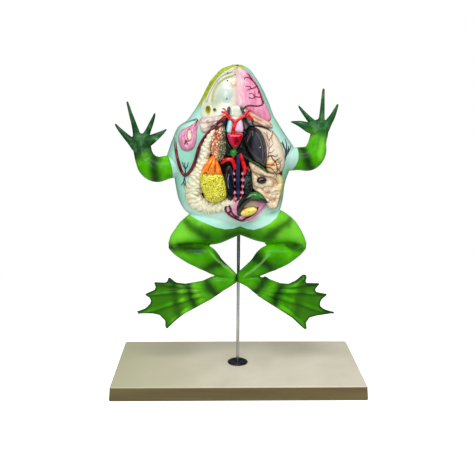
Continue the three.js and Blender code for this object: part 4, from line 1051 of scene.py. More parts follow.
palate_cream = gloss_paint("palate_cream", "D3DBC3 B8C6A8 E6EAD8", scale=55.0, shine=0.24, rim="EAEDDA",
                           width=0.35, over=palate_marks)
palate_outline = [
    (-5, 455.5), (-19, 454.8), (-31.5, 446), (-40.4, 433.5), (-47.4, 420), (-52, 408.5),
    (-54.5, 397), (-52, 387), (-40, 386), (-26, 390), (-14, 398), (-5, 402),
]
palate_top = organ("palate", palate_outline, sunk_skin, 3.2, 5, palate_cream, "palate_cream",
                   form=palate_form, floor=FLESH_FLOOR, rings=60, count=220, seats=False,
                   drawn=palate_lines)


BULGE = (-20, 423)


def eyeball_form(places, share):
    """A fine raised ring near the edge of the bulge."""
    away = np.hypot(*(places - BULGE).T)
    return 0.7 * np.exp(-(away - 13.2) ** 2)


def bulge_marks(brush):
    # Painted shade: the lower part of the bulge is painted a darker blue-grey.
    brush.lay("B4D2CA", brush.z.ramp(0.428, 0.410) * 0.6)
    brush.lay("C2D8A8", brush.x.ramp(-0.024, -0.036) * 0.5)


pale_bulge = gloss_paint("pale_bulge", "CCD9CC B8CCC0 DCE5D8", scale=70.0, shine=0.24, rim="CDD5BE",
                         width=1.0, coat=0.3, over=bulge_marks)
bulge_top = organ("eye_bulge", oval(*BULGE, 15.6, 16.6), sunk_skin, 4.4, 16, pale_bulge, "palate_cream",
                  form=eyeball_form, floor=FLESH_FLOOR, seats=False)

jaw_yellow = gloss_paint("jaw_yellow_green", "A8B81E 829612 CCD63E", scale=80.0, stretch=(1, 1, 2))
jaw_path = [
    (-54.3, -7.5, 405.5, 1.0, 1.0), (-52, -9, 411.2, 1.3), (-46.6, -11, 424.3, 1.6), (-38.7, -11.5, 439, 1.7),
    (-27, -11, 450.6, 1.8), (-14.2, -8.6, 456.9, 1.8), (-2, -6.8, 458, 1.7), (8, -8, 454.6, 1.2),
]
points, faces = swept(jaw_path, sides=20, steps=10)
shape("jaw_rim_cast", points, faces, "frog", "jaw_yellow_green", jaw_yellow, ["jaw_rim"])

# Throat and shoulders
# A pink muscle covers the frog's left half of the throat, with a branching vein laid on it. Below it
# and beside the heart lie folded shoulder muscles in cream, tan and pink.


def throat_form(places, share):
    across = places[:, 0] * 0.9 + places[:, 1] * 0.25
    fibres = np.array([noise.noise(Vector((a * 0.55, z * 0.05, 0.7))) for a, z in zip(across, places[:, 1])])
    lip = line_distance(places, [(3, 402), (12, 400), (24, 392), (36, 386), (42, 388)])
    return 0.7 * fibres * share + 1.2 * np.exp(-(lip / 3.0) ** 2) * share


def throat_marks(brush):
    brush.lay("F0CFD4", brush.x.ramp(0.012, -0.003) * 0.85)
    brush.lay("D8788E", brush.z.ramp(0.402, 0.388) * 0.55)


throat_pink = gloss_paint("throat_pink", "E892B4 D06494 F4B4CC", scale=110.0, stretch=(2.2, 1, 0.35),
                          rim="CC7096", width=0.3, over=throat_marks)
throat_outline = [
    (-4.5, 454), (6, 454), (16, 446), (26, 430), (34, 412), (40, 399),
    (43.5, 389), (39, 382), (26, 389), (13, 398), (3, 402), (-4.5, 408),
]
throat_top = organ("throat_muscle", throat_outline, sunk_skin, 6, 9, throat_pink, "muscle_pink",
                   form=throat_form, floor=FLESH_FLOOR, rings=46, count=200)


def shoulder_marks(brush):
    blot = drift(brush.place, 95.0)
    brush.lay("B08474", blot.ramp(0.50, 0.62) * 0.75)
    brush.lay("D4A8B0", blot.ramp(0.46, 0.36) * 0.7)
    brush.lay("7A5048", brush.gap((-0.037, 0, 0.379), (0.75, 0, 1)).ramp(0.0075, 0.002) * 0.7)


shoulder_cream = gloss_paint("shoulder_cream", "E4D6C6 C4A292 F2E8DC", scale=70.0, stretch=(1, 1, 2.2),
                             shine=0.22, rim="8A5C56", width=0.55, over=shoulder_marks)


def shoulder_folds(lines, height, wide):
    """Soft ridges along lines."""
    def form(places, share):
        return height * share * sum(np.exp(-(line_distance(places, line) / wide) ** 2) for line in lines)
    return form


organ("right_shoulder_muscle", [
    (-57, 384), (-51, 391), (-41, 392), (-26, 394), (-18, 390), (-19, 383), (-27, 377), (-36, 375),
    (-47, 368), (-54, 371),
], sunk_skin, 5.5, 6, shoulder_cream, "muscle_tan", floor=FLESH_FLOOR, form=shoulder_folds([
    [(-52, 384), (-42, 385), (-32, 387), (-24, 389)], [(-50, 376), (-42, 379), (-33, 381)],
    [(-40, 372), (-34, 377), (-26, 380)],
], 1.8, 1.8))


def fan_marks(brush):
    """Streaks of red-brown, olive and cream that run down along the muscle."""
    along = brush.place.vector("DOT_PRODUCT", (0.86, 0, -0.5)) * 45.0
    across = brush.place.vector("DOT_PRODUCT", (0.5, 0, 0.86)) * 230.0
    streak = drift(put(brush.tree, "CombineXYZ", {0: along, 1: across}), 1.0)
    brush.lay("B4604C", streak.ramp(0.52, 0.62) * 0.8)
    brush.lay("A8A27A", streak.ramp(0.46, 0.38) * 0.7)
    brush.lay("C8504C", brush.x.ramp(0.020, 0.011) * brush.z.ramp(0.386, 0.394) * 0.6)


shoulder_tan = gloss_paint("shoulder_tan", "E8CDB4 CC9C7E F4E4D2", scale=80.0, stretch=(1, 1, 2.0),
                           shine=0.22, rim="8A4A40", over=fan_marks)
organ("left_shoulder_muscle", [
    (7, 400), (18, 397), (30, 390), (43, 383), (46, 375), (34, 376), (19, 379), (8, 385),
], sunk_skin, 6, 5, shoulder_tan, "muscle_tan", floor=FLESH_FLOOR, form=shoulder_folds([
    [(10, 395), (20, 392), (32, 385), (42, 379)], [(10, 389), (20, 386), (32, 380)],
], 1.6, 1.7))

vein_maroon = gloss_paint("vein_maroon", "7A1226 3A0A1A A82038", scale=200.0, shine=0.15, coat=0.8)
vein_dark = gloss_paint("vein_dark", "20263A 0C0E16 3A4460", scale=200.0, shine=0.15, coat=0.8)


def vein_tree(name, branches, surface, radius, lift, finish, slot, least=0.35):
    """Thin vessels laid on a surface, with their middles at lift above it. Each branch thins from
    radius at its first point to least at its last."""
    parts = []
    for branch in branches:
        fine = np.array([flow(branch, i / 16) for i in range(17)])
        path = [(x, y - lift, z, radius * (1 - i / 16) + least * i / 16)
                for i, ((x, z), y) in enumerate(zip(fine, surface(fine)))]
        parts.append(swept(path, sides=8, steps=1))
    return shape(name, *joined(parts), "frog", slot, finish)


vein_tree("throat_vein", [
    [(3.1, 399.8), (6.2, 403.6), (11.6, 406.4), (24.2, 405.6), (31, 408), (32, 412)],
    [(31.8, 409), (28.7, 418.4), (24.6, 429.1), (18.3, 438.2), (11.5, 446.9)],
], throat_top, 1.1, 0.3, vein_maroon, "vein_maroon", least=0.85)
vein_tree("throat_vein_branches", [
    [(18.3, 438.2), (12.8, 442.7), (7.3, 444.1), (5.3, 441.1)],
    [(21.5, 431.3), (16, 429), (12.9, 431.7), (7.4, 432)], [(16, 429), (12, 428), (9.8, 426.7)],
    [(28.7, 417.6), (20.9, 418.3), (16.9, 422.1), (12.2, 422.1)], [(20.9, 418.3), (17, 416), (11.5, 417.1)],
    [(25.4, 427.2), (24.7, 422.2)], [(14, 443.5), (12, 447), (9, 449)],
], throat_top, 0.8, 0.2, vein_maroon, "vein_maroon", least=0.45)

# Chest
# The pectoral muscle on the frog's right is a pink shield with a pale slit, and the great cutaneous vein
# loops round it and down the flank as a thick dark red cord.


def pectoral_form(places, share):
    away = np.hypot((places[:, 0] + 70) / 0.8, (places[:, 1] - 363) / 1.35)
    slit = line_distance(places, [(-68.4, 372), (-70.6, 366), (-69.6, 360)])
    return 0.5 * np.sin(away * 1.15) * share + 1.1 * np.exp(-(slit / 1.8) ** 2)


def pectoral_marks(brush):
    slit = brush.gap((-0.0695, 0, 0.366), (1, 0, 0.42))
    brush.lay("A84468", slit.ramp(0.0040, 0.0034))
    brush.lay("F6DFCC", slit.ramp(0.0034, 0.0024))


pectoral_pink = gloss_paint("pectoral_pink", "DE8FAE C46C8E ECB4CA", scale=120.0, rim="B86482",
                            width=0.35, coat=0.4, over=pectoral_marks)
pectoral_top = organ("pectoral_muscle", [
    (-57.5, 387.5), (-64.5, 381.5), (-72, 377), (-79.5, 373), (-84.4, 366.5), (-86, 359), (-84.2, 350),
    (-79.5, 344.5), (-72.5, 343), (-65, 346), (-60.6, 353.6), (-59, 363), (-58.4, 372), (-56.5, 381),
], sunk_skin, 7.5, 9, pectoral_pink, "muscle_pink", form=pectoral_form, floor=FLESH_FLOOR,
   rings=40, count=180)
vein_tree("pectoral_mark", [
    [(-76, 353.6), (-74, 357.6), (-70.5, 357)], [(-74.5, 358.5), (-73, 356), (-72, 353.5)],
    [(-58.5, 386), (-60.5, 380.5), (-63.5, 376)],
], pectoral_top, 1.1, 0.2, vein_maroon, "vein_maroon")

loop_path = [
    (-60, 388, 0.8), (-69, 384.5, 0.7), (-78, 380, 0.7), (-86, 373, 0.7), (-89.6, 364, 0.9),
    (-89.8, 355, 1.7), (-88.3, 341, 2.2), (-85.3, 327, 2.3), (-81.5, 315, 2.3), (-76, 309.5, 2.3),
    (-68.8, 316, 2.3), (-63.1, 327.5, 2.3), (-59.1, 340, 2.3), (-55.9, 351, 2.2), (-49.5, 362, 2.1),
    (-41.6, 371.5, 2.1), (-33.8, 379, 2.0), (-27.5, 384.5, 1.9), (-22, 384, 1.5),
]


def loop_marks(brush):
    # Painted shade: the sides of the cord that turn away from the front are painted near black.
    brush.lay("180C14", facing(brush.tree, 1).ramp(-0.75, -0.3))
    brush.lay("86AE9E", brush.x.ramp(-0.056, -0.062) * brush.z.ramp(0.352, 0.362) * 0.85)


loop_maroon = gloss_paint("loop_maroon", "6A0E20 340812 962034", scale=160.0, shine=0.14, coat=0.9,
                          over=loop_marks)
flat = np.array([(x, z) for x, z, r in loop_path])
path = [
    (x, y - 0.5 - 2.6 * float(np.clip((x + 72) / 8, 0, 1)), z, r)
    for (x, z, r), y in zip(loop_path, skin_at(flat))
]
points, faces = swept(path, sides=16, steps=8)
shape("cutaneous_loop", points, faces, "frog", "vein_maroon", loop_maroon, ["cutaneous_vein"])
vein_tree("flank_capillaries", [
    [(-76, 311), (-76, 320), (-77, 327)], [(-76, 318.4), (-73.2, 322), (-71.6, 328)],
    [(-76.3, 319.6), (-78.5, 323), (-79.9, 328)], [(-77, 308), (-78.3, 300), (-77.8, 291)],
    [(-78.4, 300), (-80.5, 297), (-82.4, 294.5)], [(-78.1, 298.3), (-76, 295.5), (-74.6, 293.5)],
    [(-77.4, 305), (-76.2, 301), (-75.6, 297)],
], skin_at, 0.8, 0.5, vein_dark, "vein_dark", least=0.4)
vein_tree("shoulder_vessels", [
    [(62.6, 330), (64.6, 341), (61.8, 350), (57.6, 355.7)], [(64.6, 341.3), (65.6, 352.5), (63.6, 360.5)],
    [(63.6, 336), (69.2, 344), (72.4, 351)], [(65.8, 339.5), (68.5, 347.7), (68.2, 351)],
    [(61.6, 350.3), (59.7, 357.3)], [(62.8, 333), (60, 341), (55.5, 347)],
], skin_at, 1.3, 0.6, vein_dark, "vein_dark", least=0.4)

# Heart
# The heart lifts out as one casting in four colours: a red ventricle, a pale blue right atrium, a
# pink left atrium, and the bright red arterial trunk that forks in front of them.


def ventricle_marks(brush):
    brush.lay("E0366E", brush.x.ramp(-0.010, -0.0135) * 0.9)
    away = brush.gap((-0.0055, 0, 0.3605), (1, 0, 0.55)) + (drift(brush.place, 400.0) - 0.5) * 0.004
    brush.lay("5A0414", away.ramp(0.0042, 0.0022) * 0.85)


heart_red = gloss_paint("heart_red", "CE0620 A00416 E01C38", scale=120.0, shine=0.12, rim="F2A0BC",
                        width=0.28, coat=0.9, over=ventricle_marks)
organ("ventricle", [
    (-17.5, 369), (-7, 371), (3.5, 369), (2.5, 361), (-1.5, 353), (-7, 347.5), (-12.5, 353), (-16.5, 361),
], ORGAN_RIM - 5.5, 9.3, 7, heart_red, "heart_red", body="heart", seats=False)


def atrium_marks(brush):
    brush.lay("58C4D6", (brush.x + (brush.z - 0.38) * -0.25).ramp(-0.0150, -0.0182))


atrium_blue = gloss_paint("atrium_blue", "CFEFF2 AEE0E8 EAFAFA", scale=130.0, shine=0.12, rim="2A5A68",
                          width=0.2, coat=0.9, over=atrium_marks)
organ("right_atrium", [(-15, 389), (-10.5, 386), (-10, 376), (-12, 369), (-18.5, 371), (-18, 381)],
      ORGAN_RIM - 6, 5, 4, atrium_blue, "atrium_blue", body="heart", seats=False, count=90)
atrium_pink = gloss_paint("atrium_pink", "EBC2DE D89CC6 F6DCEE", scale=130.0, shine=0.12, rim="9A4A78",
                          width=0.25, coat=0.9)
organ("left_atrium", [(-6, 385), (1, 389), (4, 381), (4, 371), (-4, 370), (-9.5, 373), (-9, 380)],
      ORGAN_RIM - 6, 6, 5, atrium_pink, "atrium_pink", body="heart", seats=False, count=90)
blood_red = gloss_paint("blood_red", "E00C18 B00810 F43C40", scale=150.0, shine=0.1, coat=1.0)


def vessels(name, paths, body, slot, finish, stands_for, sides=18):
    """Round vessels joined into one piece that stands for its CAD nodes."""
    shape(name, *joined(swept(path, sides=sides) for path in paths), body, slot, finish, stands_for)


points, faces, marks, _ = relief([
    (-15, 390), (-6, 392.5), (2.5, 390), (-0.5, 384), (-6, 381), (-11.5, 384),
], ORGAN_RIM - 4, 4.5, 4, floor=ORGAN_RIM + 4, seats=False, count=80, rings=12)
great_vessels = gloss_paint("great_vessel_cream", "DDE0CE C6CDB8 ECEEE2", scale=110.0, rim="C6B4A6")
shape("great_vessel_pad", points, faces, "heart", "atrium_pink", great_vessels, (), marks)
fork = ORGAN_RIM - 11
vessels("arterial_trunk_cast", [
    [(-11, fork, 369, 2.4), (-9, fork - 1.5, 377, 2.6), (-6.5, fork, 385, 2.4)],
    [(-6.5, fork, 384, 2.1), (-10.5, fork + 1, 387.5, 2.1), (-14.5, fork + 2, 388.4, 2.0)],
    [(-6.5, fork, 384, 2.1), (-2, fork + 1, 388.5, 2.1), (2, fork + 2, 390, 2.0)],
], "heart", "blood_red", blood_red, ["arterial_trunk"])


def arch_marks(brush):
    x, z = brush.x, brush.z
    dark = x.ramp(-0.0225, -0.028) * z.ramp(0.394, 0.391) + x.ramp(0.012, 0.015) * z.ramp(0.389, 0.386)
    brush.lay("2A0E1A", dark * 0.92)


arch_red = gloss_paint("arch_red", "E00C18 B00810 F43C40", scale=150.0, shine=0.1, coat=1.0, over=arch_marks)
arch = ORGAN_RIM - 7
vessels("right_arch_cast", [
    [(-12, arch, 388.5, 1.9), (-19, arch, 392, 2.0), (-25, arch + 2, 388, 1.9), (-33, arch + 5, 381, 1.4)],
    [(-17, arch, 391, 1.7), (-19, arch, 396, 1.7), (-25, arch + 3, 398, 1.2)],
    [(-19, arch + 0.5, 396, 1.4), (-21, arch + 2, 401, 1.2), (-24, arch + 4, 402, 0.9)],
], "frog", "blood_red", arch_red, ["right_aortic_arch"])
vessels("left_arch_cast", [
    [(1, arch, 390, 1.9), (9, arch, 393, 2.0), (16, arch + 1, 389, 1.9), (17, arch + 3, 383, 1.5)],
    [(5, arch, 392, 1.7), (8, arch, 396, 1.7), (14, arch + 3, 400, 1.1)],
], "frog", "blood_red", arch_red, ["left_aortic_arch"])
cava = ORGAN_RIM - 4
vessels("right_cava_cast", [
    [(-15.4, cava + 2, 403, 2.1), (-16.5, cava, 396, 2.1), (-20, cava, 384, 1.9), (-26, cava + 2, 376, 1.7)],
], "frog", "vein_dark", vein_dark, ["right_vena_cava"])
vessels("left_cava_cast", [
    [(1.5, cava + 2, 403, 2.0), (6, cava, 393, 2.0), (8, cava, 385, 1.9), (13, cava, 380.5, 1.7),
     (25, cava, 379.5, 1.4), (36, cava + 2, 376, 1.1), (42, cava + 4, 371, 0.8)],
], "frog", "vein_dark", vein_dark, ["left_vena_cava"])

# Liver and gall bladder
# Two dark lobes in high gloss: the large slate-grey one on the frog's left lifts out, the middle one
# lies behind the heart. The round green gall bladder sits in front of it.


def lobe_form(places, share):
    keel = line_distance(places, [(14, 372), (20, 358), (27, 342), (33, 328)])
    return 1.2 * np.exp(-(keel / 5) ** 2) * share


def lobe_marks(brush):
    # Painted shade: the lobe is painted near black left of a curved border.
    level = brush.z - 0.350
    up, down = level.calc("MAXIMUM"), level.calc("MINIMUM")
    border = up * up * 9.0 + down * down * 26.0 + 0.0165
    brush.lay("121214", (brush.x - border).ramp(0.0022, -0.0022) * 0.94)


liver_slate = gloss_paint("liver_slate", "3C3C46 2E2E36 4C4C58", scale=40.0, shine=0.14, rim="101012",
                          width=0.3, coat=1.0, over=lobe_marks)
lobe_top = organ("liver_left_lobe", lobe_outline, ORGAN_RIM - 4, 10.5, 9, liver_slate, "liver_dark",
                 body="liver_lobe", form=lobe_form, seats=False)
liver_black = gloss_paint("liver_black", "141A18 0A0D0C 26302C", scale=60.0, shine=0.14, coat=1.0)
organ("liver_middle_lobe", [
    (-18, 366), (-20.5, 350), (-20, 339), (-10, 334), (0, 335), (12, 330), (22, 329), (20, 345), (12, 360),
    (8, 374), (-7, 376),
], ORGAN_RIM + 1, 6, 7, liver_black, "liver_dark", form=ripples(0.09, 1.2))
gall_green = gloss_paint("gall_green", "128A1E 0A6414 38B43C", scale=140.0, shine=0.1, coat=1.0)
organ("gall_bladder", oval(-9, 343, 4.9, 4.9), ORGAN_RIM - 8.5, 5.5, 4.9, gall_green, "gall_green",
      seats=False, count=80)
duct_green = gloss_paint("duct_green", "2A5A28 163618 4A8444", scale=140.0, shine=0.16, coat=0.8)
vessels("bile_duct_cast", [
    [(14, ORGAN_RIM - 3, 331, 1.0), (22, ORGAN_RIM - 6, 328.5, 1.3), (31, ORGAN_RIM - 8, 322.5, 1.4),
     (39, ORGAN_RIM - 8, 315.5, 0.9)],
], "frog", "duct_green", duct_green, ["bile_duct"])

# Lung
# A cream sac under a net of fine ridges: orange and wide on its outer side, dark green and small
# on its inner side.


def cell_edge(places, size, seed):
    """0 on the walls of a net of cells, 1 in their middles."""
    found = []
    for x, z in places:
        near, _ = noise.voronoi(Vector((x / size, z / size, seed)))
        found.append(min((near[1] - near[0]) * 2.2, 1.0))
    return np.array(found)


def lung_form(places, share):
    outer = np.clip((-26 - places[:, 0]) / 5, 0, 1)
    net = outer * (1 - cell_edge(places, 5.0, 0.3)) + (1 - outer) * (1 - cell_edge(places, 2.6, 0.7))
    return 0.7 * net * share


def lung_marks(brush):
    flat = brush.place.vector("MULTIPLY", (1, 0, 1))
    wide, small = (put(brush.tree, "TexVoronoi", {"Vector": flat, "Scale": scale}, feature="DISTANCE_TO_EDGE")
                   for scale in (250.0, 420.0))
    deep = mixed(brush.z.ramp(0.336, 0.352), "DE5A12", "A8351C")
    olive = mixed(small.ramp(0.30, 0.12), mixed(0.6, brush.colour, "BCC49A"), "38442A")
    brush.lay(deep, wide.ramp(0.19, 0.06))
    brush.lay(olive, (brush.x + brush.z * -0.16).ramp(-0.0870, -0.0825))


lung_net = gloss_paint("lung_net", "EBCDA4 D8A878 F4E2C4", scale=120.0, rim="7A4A2A", width=0.3,
                       over=lung_marks)
organ("lung", [
    (-36, 369), (-27, 378), (-19, 377), (-17, 363), (-18, 347), (-22, 335), (-29, 329), (-37, 335),
    (-41, 349), (-40, 361),
], ORGAN_RIM - 1, 8, 8, lung_net, "lung_tan", form=lung_form, rings=60, count=220)

# Stomach and pancreas
# The stomach is a smooth cream bag along the frog's left side, with dark red vessels laid on it. The
# small yellow pancreas lies in its bend under crossing dark lines.
organ_edge = ORGAN_RIM + 8


def stomach_edge(places):
    return np.minimum(skin_at(places) - 3, organ_edge)


stomach_cream = gloss_paint("stomach_cream", "E4D6BA D2B08C F0E8D6", scale=46.0, rim="A86A4A")
stomach_top = organ("stomach", [
    (18, 379), (35, 377), (46, 371), (54, 360), (60, 347), (63, 332), (61, 318),
    (52, 312), (43, 315), (36, 324), (35, 340), (35, 352), (29, 367),
], stomach_edge, 8, 12, stomach_cream, "gut_cream", form=ripples(0.07, 0.8), count=180, rings=30)
vessel_red = gloss_paint("vessel_red", "9A4028 6C2216 BC6644", scale=180.0, shine=0.18)
vein_tree("stomach_vessels", [
    [(39, 336), (39.8, 348), (39.6, 359), (35.6, 367), (33, 371)], [(39.6, 359), (41.5, 363), (43.6, 367)],
    [(39.6, 348), (42.5, 351.5), (45.4, 355.5)], [(38.4, 352), (36.6, 358), (34.6, 362)],
    [(40.2, 343), (44, 344), (47.6, 348)], [(36.4, 371), (37.6, 365), (37.2, 361)],
    [(45.4, 371), (44, 366), (43.4, 361), (45, 357)],
], stomach_top, 0.64, 0.1, vessel_red, "vein_maroon", least=0.3)
pancreas_tan = gloss_paint("pancreas_tan", "E8CA8C D49C50 F2E0B4", scale=150.0, rim="8A4A20")
pancreas_top = organ("pancreas", [
    (37, 334), (46, 335.5), (55, 331), (56.5, 322), (48, 315), (39, 317), (35.5, 325),
], ORGAN_RIM - 5, 5, 6, pancreas_tan, "pancreas_tan", form=ripples(0.3, 1.2, 3), rings=30)


def crossing_surface(places):
    """The face of stomach and pancreas, with a ground between them for the vessels that cross it."""
    return np.minimum(np.minimum(stomach_top(places), pancreas_top(places)), ORGAN_RIM - 8)


vein_tree("pancreas_vessels", [
    [(38, 327), (44, 326.5), (50, 326.6), (56, 329)], [(37, 323.5), (43, 322), (49, 315), (51, 310)],
    [(38, 337), (43, 339.6), (49, 338), (52, 341)], [(43, 339), (47, 332), (55, 330.5), (58, 334)],
    [(46.5, 333), (50.5, 327), (51.5, 318), (50.4, 311)], [(47.6, 331), (52, 334), (56, 336.5)],
    [(50.5, 322), (54, 320), (56.6, 314)], [(44, 326.5), (47, 329.5), (49.5, 333)],
], crossing_surface, 0.85, 0.05, vein_maroon, "vein_maroon", least=0.3)

# Small intestine
# Soft cream runs of gut lie over a shared fold of tissue that fans out from the middle, with small
# dark red marks where it is gathered. The spleen is a glossy dark bean in the middle of the fold.
gut_outline = [
    (13, 329), (26, 324), (39, 317), (54, 313), (62, 304), (61, 290), (58, 277),
    (54, 264), (44, 262), (35, 272), (30, 282), (20, 291), (17, 300), (16, 315),
]
gut_runs = [
    [(18, 323), (26, 319), (34, 316), (44, 314), (54, 309)],
    [(56, 306), (59, 299), (55, 292), (47, 290), (38, 291)],
    [(42, 299), (33, 299), (25, 300), (20, 307)],
    [(27, 288), (34, 283), (42, 281), (53, 284)],
    [(56, 280), (55, 272), (49, 267), (43, 268), (38, 275)],
]
GUT_HALF_WIDTH = 5.6


def gut_form(places, share):
    total = np.zeros(len(places))
    for run in gut_runs:
        away = np.clip(line_distance(places, run) / GUT_HALF_WIDTH, 0, 1)
        total = np.maximum(total, np.sqrt(1 - away ** 2))
    pleats = np.array([noise.fractal(Vector((x * 0.16, z * 0.16, 5.0)), 1.0, 2.0, 3) for x, z in places])
    return (4.6 * total + 1.1 * pleats) * np.minimum(share * 1.6, 1)


def gut_crease_shade(places):
    """Painted shade in the folds between the runs."""
    away = np.min([np.abs(line_distance(places, run) / GUT_HALF_WIDTH - 1.0) for run in gut_runs], axis=0)
    return np.exp(-(away / 0.16) ** 2)


def gut_edge(places):
    return np.minimum(skin_at(places) - 2, organ_edge)


def curl_lines(place, scale, thin):
    """Fine curling lines of colour, as of small pleats."""
    return {"Mask": abs(drift(place, scale, 1.0) - 0.5).ramp(thin, thin * 0.25)}


curls = effect("curls", {"Scale": 120.0, "Thin": 0.03}, curl_lines)


def gut_marks(brush):
    brush.lay("BC7C5C", use(brush.tree, curls, {"Scale": 120.0, "Thin": 0.028}) * 0.5)
    brush.lay("B4785A", brush.mark("line") * 0.55)
    spots = put(brush.tree, "TexVoronoi", {"Vector": brush.place, "Scale": 150.0}).ramp(0.26, 0.16)
    brush.lay("8A2A24", spots * drift(brush.place, 70.0, 1.0).ramp(0.50, 0.56))
    brush.lay("E8A080", drift(brush.place, 110.0, 3.0).ramp(0.55, 0.7) * 0.5)
    brush.lay("E6E07A", brush.x.ramp(0.050, 0.058) * brush.z.ramp(0.280, 0.290) * 0.6)


gut_cream = gloss_paint("gut_cream", "F0E4C0 D8B88C F6EED6", scale=90.0, rim="A86A4C", width=0.3,
                        over=gut_marks)
organ("small_intestine", gut_outline, gut_edge, 4, 5, gut_cream, "gut_cream", form=gut_form, rings=56,
      count=220, drawn=gut_crease_shade)
spleen_dark = gloss_paint("spleen_dark", "120A0E 060406 22141A", scale=120.0, shine=0.08, coat=1.0)
organ("spleen", oval(30, 305, 7.2, 5.0), ORGAN_RIM - 9, 5, 5, spleen_dark, "spleen_dark", count=90)

# Fat body and ovary
# The fat body is a bunch of orange fingers, and the ovary below it a mound of yellow grains on a
# darker ground, moulded as one rough face.

# The point that the fingers fan out from, how many fill half a turn, and the turn of the first.
FAN_X, FAN_Z, FINGERS, FIRST = -33, 342, 8.0, 0.4


def fat_form(places, share):
    swing = np.arctan2(places[:, 0] - FAN_X, FAN_Z - places[:, 1])
    lobes = np.abs(np.sin(swing * FINGERS + FIRST)) ** 0.7
    return 2.6 * lobes * share


def fat_marks(brush):
    swing = (brush.x - FAN_X * MM).calc("ARCTAN2", FAN_Z * MM - brush.z)
    stripe = abs((swing * FINGERS + FIRST).calc("SINE"))
    brush.lay("B84808", stripe.ramp(0.5, 0.1))
    brush.lay("FFB048", stripe.ramp(0.85, 1.0) * 0.6)
    dab = drift(brush.place, 260.0)
    brush.lay("F2D24C", dab.ramp(0.54, 0.64) * 0.6)
    brush.lay("D8480A", dab.ramp(0.44, 0.34) * 0.6)


fat_orange = gloss_paint("fat_orange", "FB7C18 E65C0C FFA844", scale=150.0, over=fat_marks)
organ("fat_body", [
    (-38, 338), (-32, 333), (-27.5, 324), (-24.5, 314), (-25, 309.5), (-28.5, 312), (-31.5, 308.5),
    (-34.5, 312.5), (-38, 308), (-41.5, 312.5), (-45, 309), (-48, 313), (-51.5, 309.5), (-53.5, 313),
    (-51.5, 322), (-45, 331),
], ORGAN_RIM - 6, 5, 6, fat_orange, "fat_orange", form=fat_form, rings=50, count=180)

# Width of one grain of the ovary.
GRAIN = 1.35


def grain_form(places, share):
    near = [noise.voronoi(Vector((x / GRAIN, z / GRAIN, 0.2)))[0][0] for x, z in places]
    return np.maximum(1 - (np.array(near) / 0.62) ** 2, 0) * np.minimum(share * 3, 1)


def grain_marks(brush):
    flat = brush.place.vector("MULTIPLY", (1, 0, 1)).vector("ADD", (0, 0.2 * GRAIN * MM, 0))
    near = put(brush.tree, "TexVoronoi", {"Vector": flat, "Scale": 1 / (GRAIN * MM)})
    brush.lay("8A8618", near.ramp(0.50, 0.74))


ovary_yellow = gloss_paint("ovary_yellow", "F2EC3E DCD62A F8F48C", scale=160.0, shine=0.28, rim="B4A022",
                           width=0.2, over=grain_marks)
organ("ovary", [
    (-53.5, 314), (-39, 315), (-25.5, 314), (-21, 303), (-18.5, 290), (-19, 281),
    (-26, 275), (-36, 272), (-47, 278), (-51, 287), (-55, 300),
], ORGAN_RIM - 5, 7, 12, ovary_yellow, "ovary_yellow", form=grain_form, rings=80, count=260)

# Oviduct
# A cream tube, tightly folded into a ruffled frill down the frog's right side and across below the
# ovary. Each fold is plump, with a pink-brown crease beside it that is partly its own colour and partly
# painted shade; the frill is also painted darker in its hollows, paler on its crowns and paler at its foot.
oviduct_route = [
    (-37.5, 371, 3.5), (-42, 364, 4.6), (-46, 353, 5.8), (-48.8, 340, 6.4), (-53, 325, 7.2),
    (-59.5, 308, 9.0), (-65, 290, 10.0), (-64.5, 276, 10.0), (-55.5, 268, 9.4), (-39, 265.5, 8.8),
    (-24, 268, 8.0), (-12, 273.5, 5.6),
]
FOLDS = 30


def fold_bend(t, i):
    """How far fold i swings forward at t of its width."""
    return 2.2 * np.sin(t * 2.6 + i) + 0.35 * np.sin(i * 2.1) * t * 3


def over_skin(x, z):
    """Y of the ground that the frill lies on."""
    return max(float(skin_at(np.array([[x, z]]))[0]), ORGAN_RIM)


def folded_frill():
    fine = np.array([flow(oviduct_route, i / 400) for i in range(401)])
    run = run_of(fine[:, :2])
    parts = []
    for i in range(FOLDS):
        s = run[-1] * (i + 0.5) / FOLDS
        x, z, wide = (np.interp(s, run, fine[:, k]) for k in range(3))
        ahead = np.array([
            np.interp(s + 1, run, fine[:, k]) - np.interp(s - 1, run, fine[:, k]) for k in (0, 1)
        ])
        ahead /= np.hypot(*ahead)
        wide *= 1 + 0.16 * math.sin(i * 1.7)
        path = []
        for k, t in enumerate(np.linspace(-1, 1, 7)):
            bend = fold_bend(t, i)
            px, pz = x - ahead[1] * wide * t + ahead[0] * bend, z + ahead[0] * wide * t + ahead[1] * bend
            radius = 2.7 + 0.5 * math.sin(i * 3.3 + k * 1.9)
            path.append((px, over_skin(px, pz) + 3.6 - 6.6 * (1 - t * t) ** 0.5, pz, radius))
        parts.append(swept(path, sides=14, steps=4))
    under = [(x, over_skin(x, z) + 3.0, z, wide + 1.2, 7.6) for x, z, wide in fine[::20]]
    return parts + [swept(under, sides=14, steps=4)]


def fold_seams(points):
    """Marks the seam between each two folds of the frill."""
    fine = np.array([flow(oviduct_route, i / 100) for i in range(101)])
    run = run_of(fine[:, :2])
    flat = points[:, [0, 2]]
    near = ((flat[:, None] - fine[None, :, :2]) ** 2).sum(2).argmin(1)
    ahead = np.gradient(fine[:, :2], axis=0)[near]
    ahead /= np.hypot(*ahead.T)[:, None]
    gap = flat - fine[near, :2]
    s = run[near] + (gap * ahead).sum(1)
    t = (gap[:, 1] * ahead[:, 0] - gap[:, 0] * ahead[:, 1]) / fine[near, 2]
    s -= fold_bend(t, np.round(s / run[-1] * FOLDS - 0.5))
    phase = s / run[-1] * FOLDS % 1
    return {"seam": np.clip(1 - np.minimum(phase, 1 - phase) * 5.5, 0, 1) * np.clip(np.abs(t) * 1.5, 0.15, 1)}


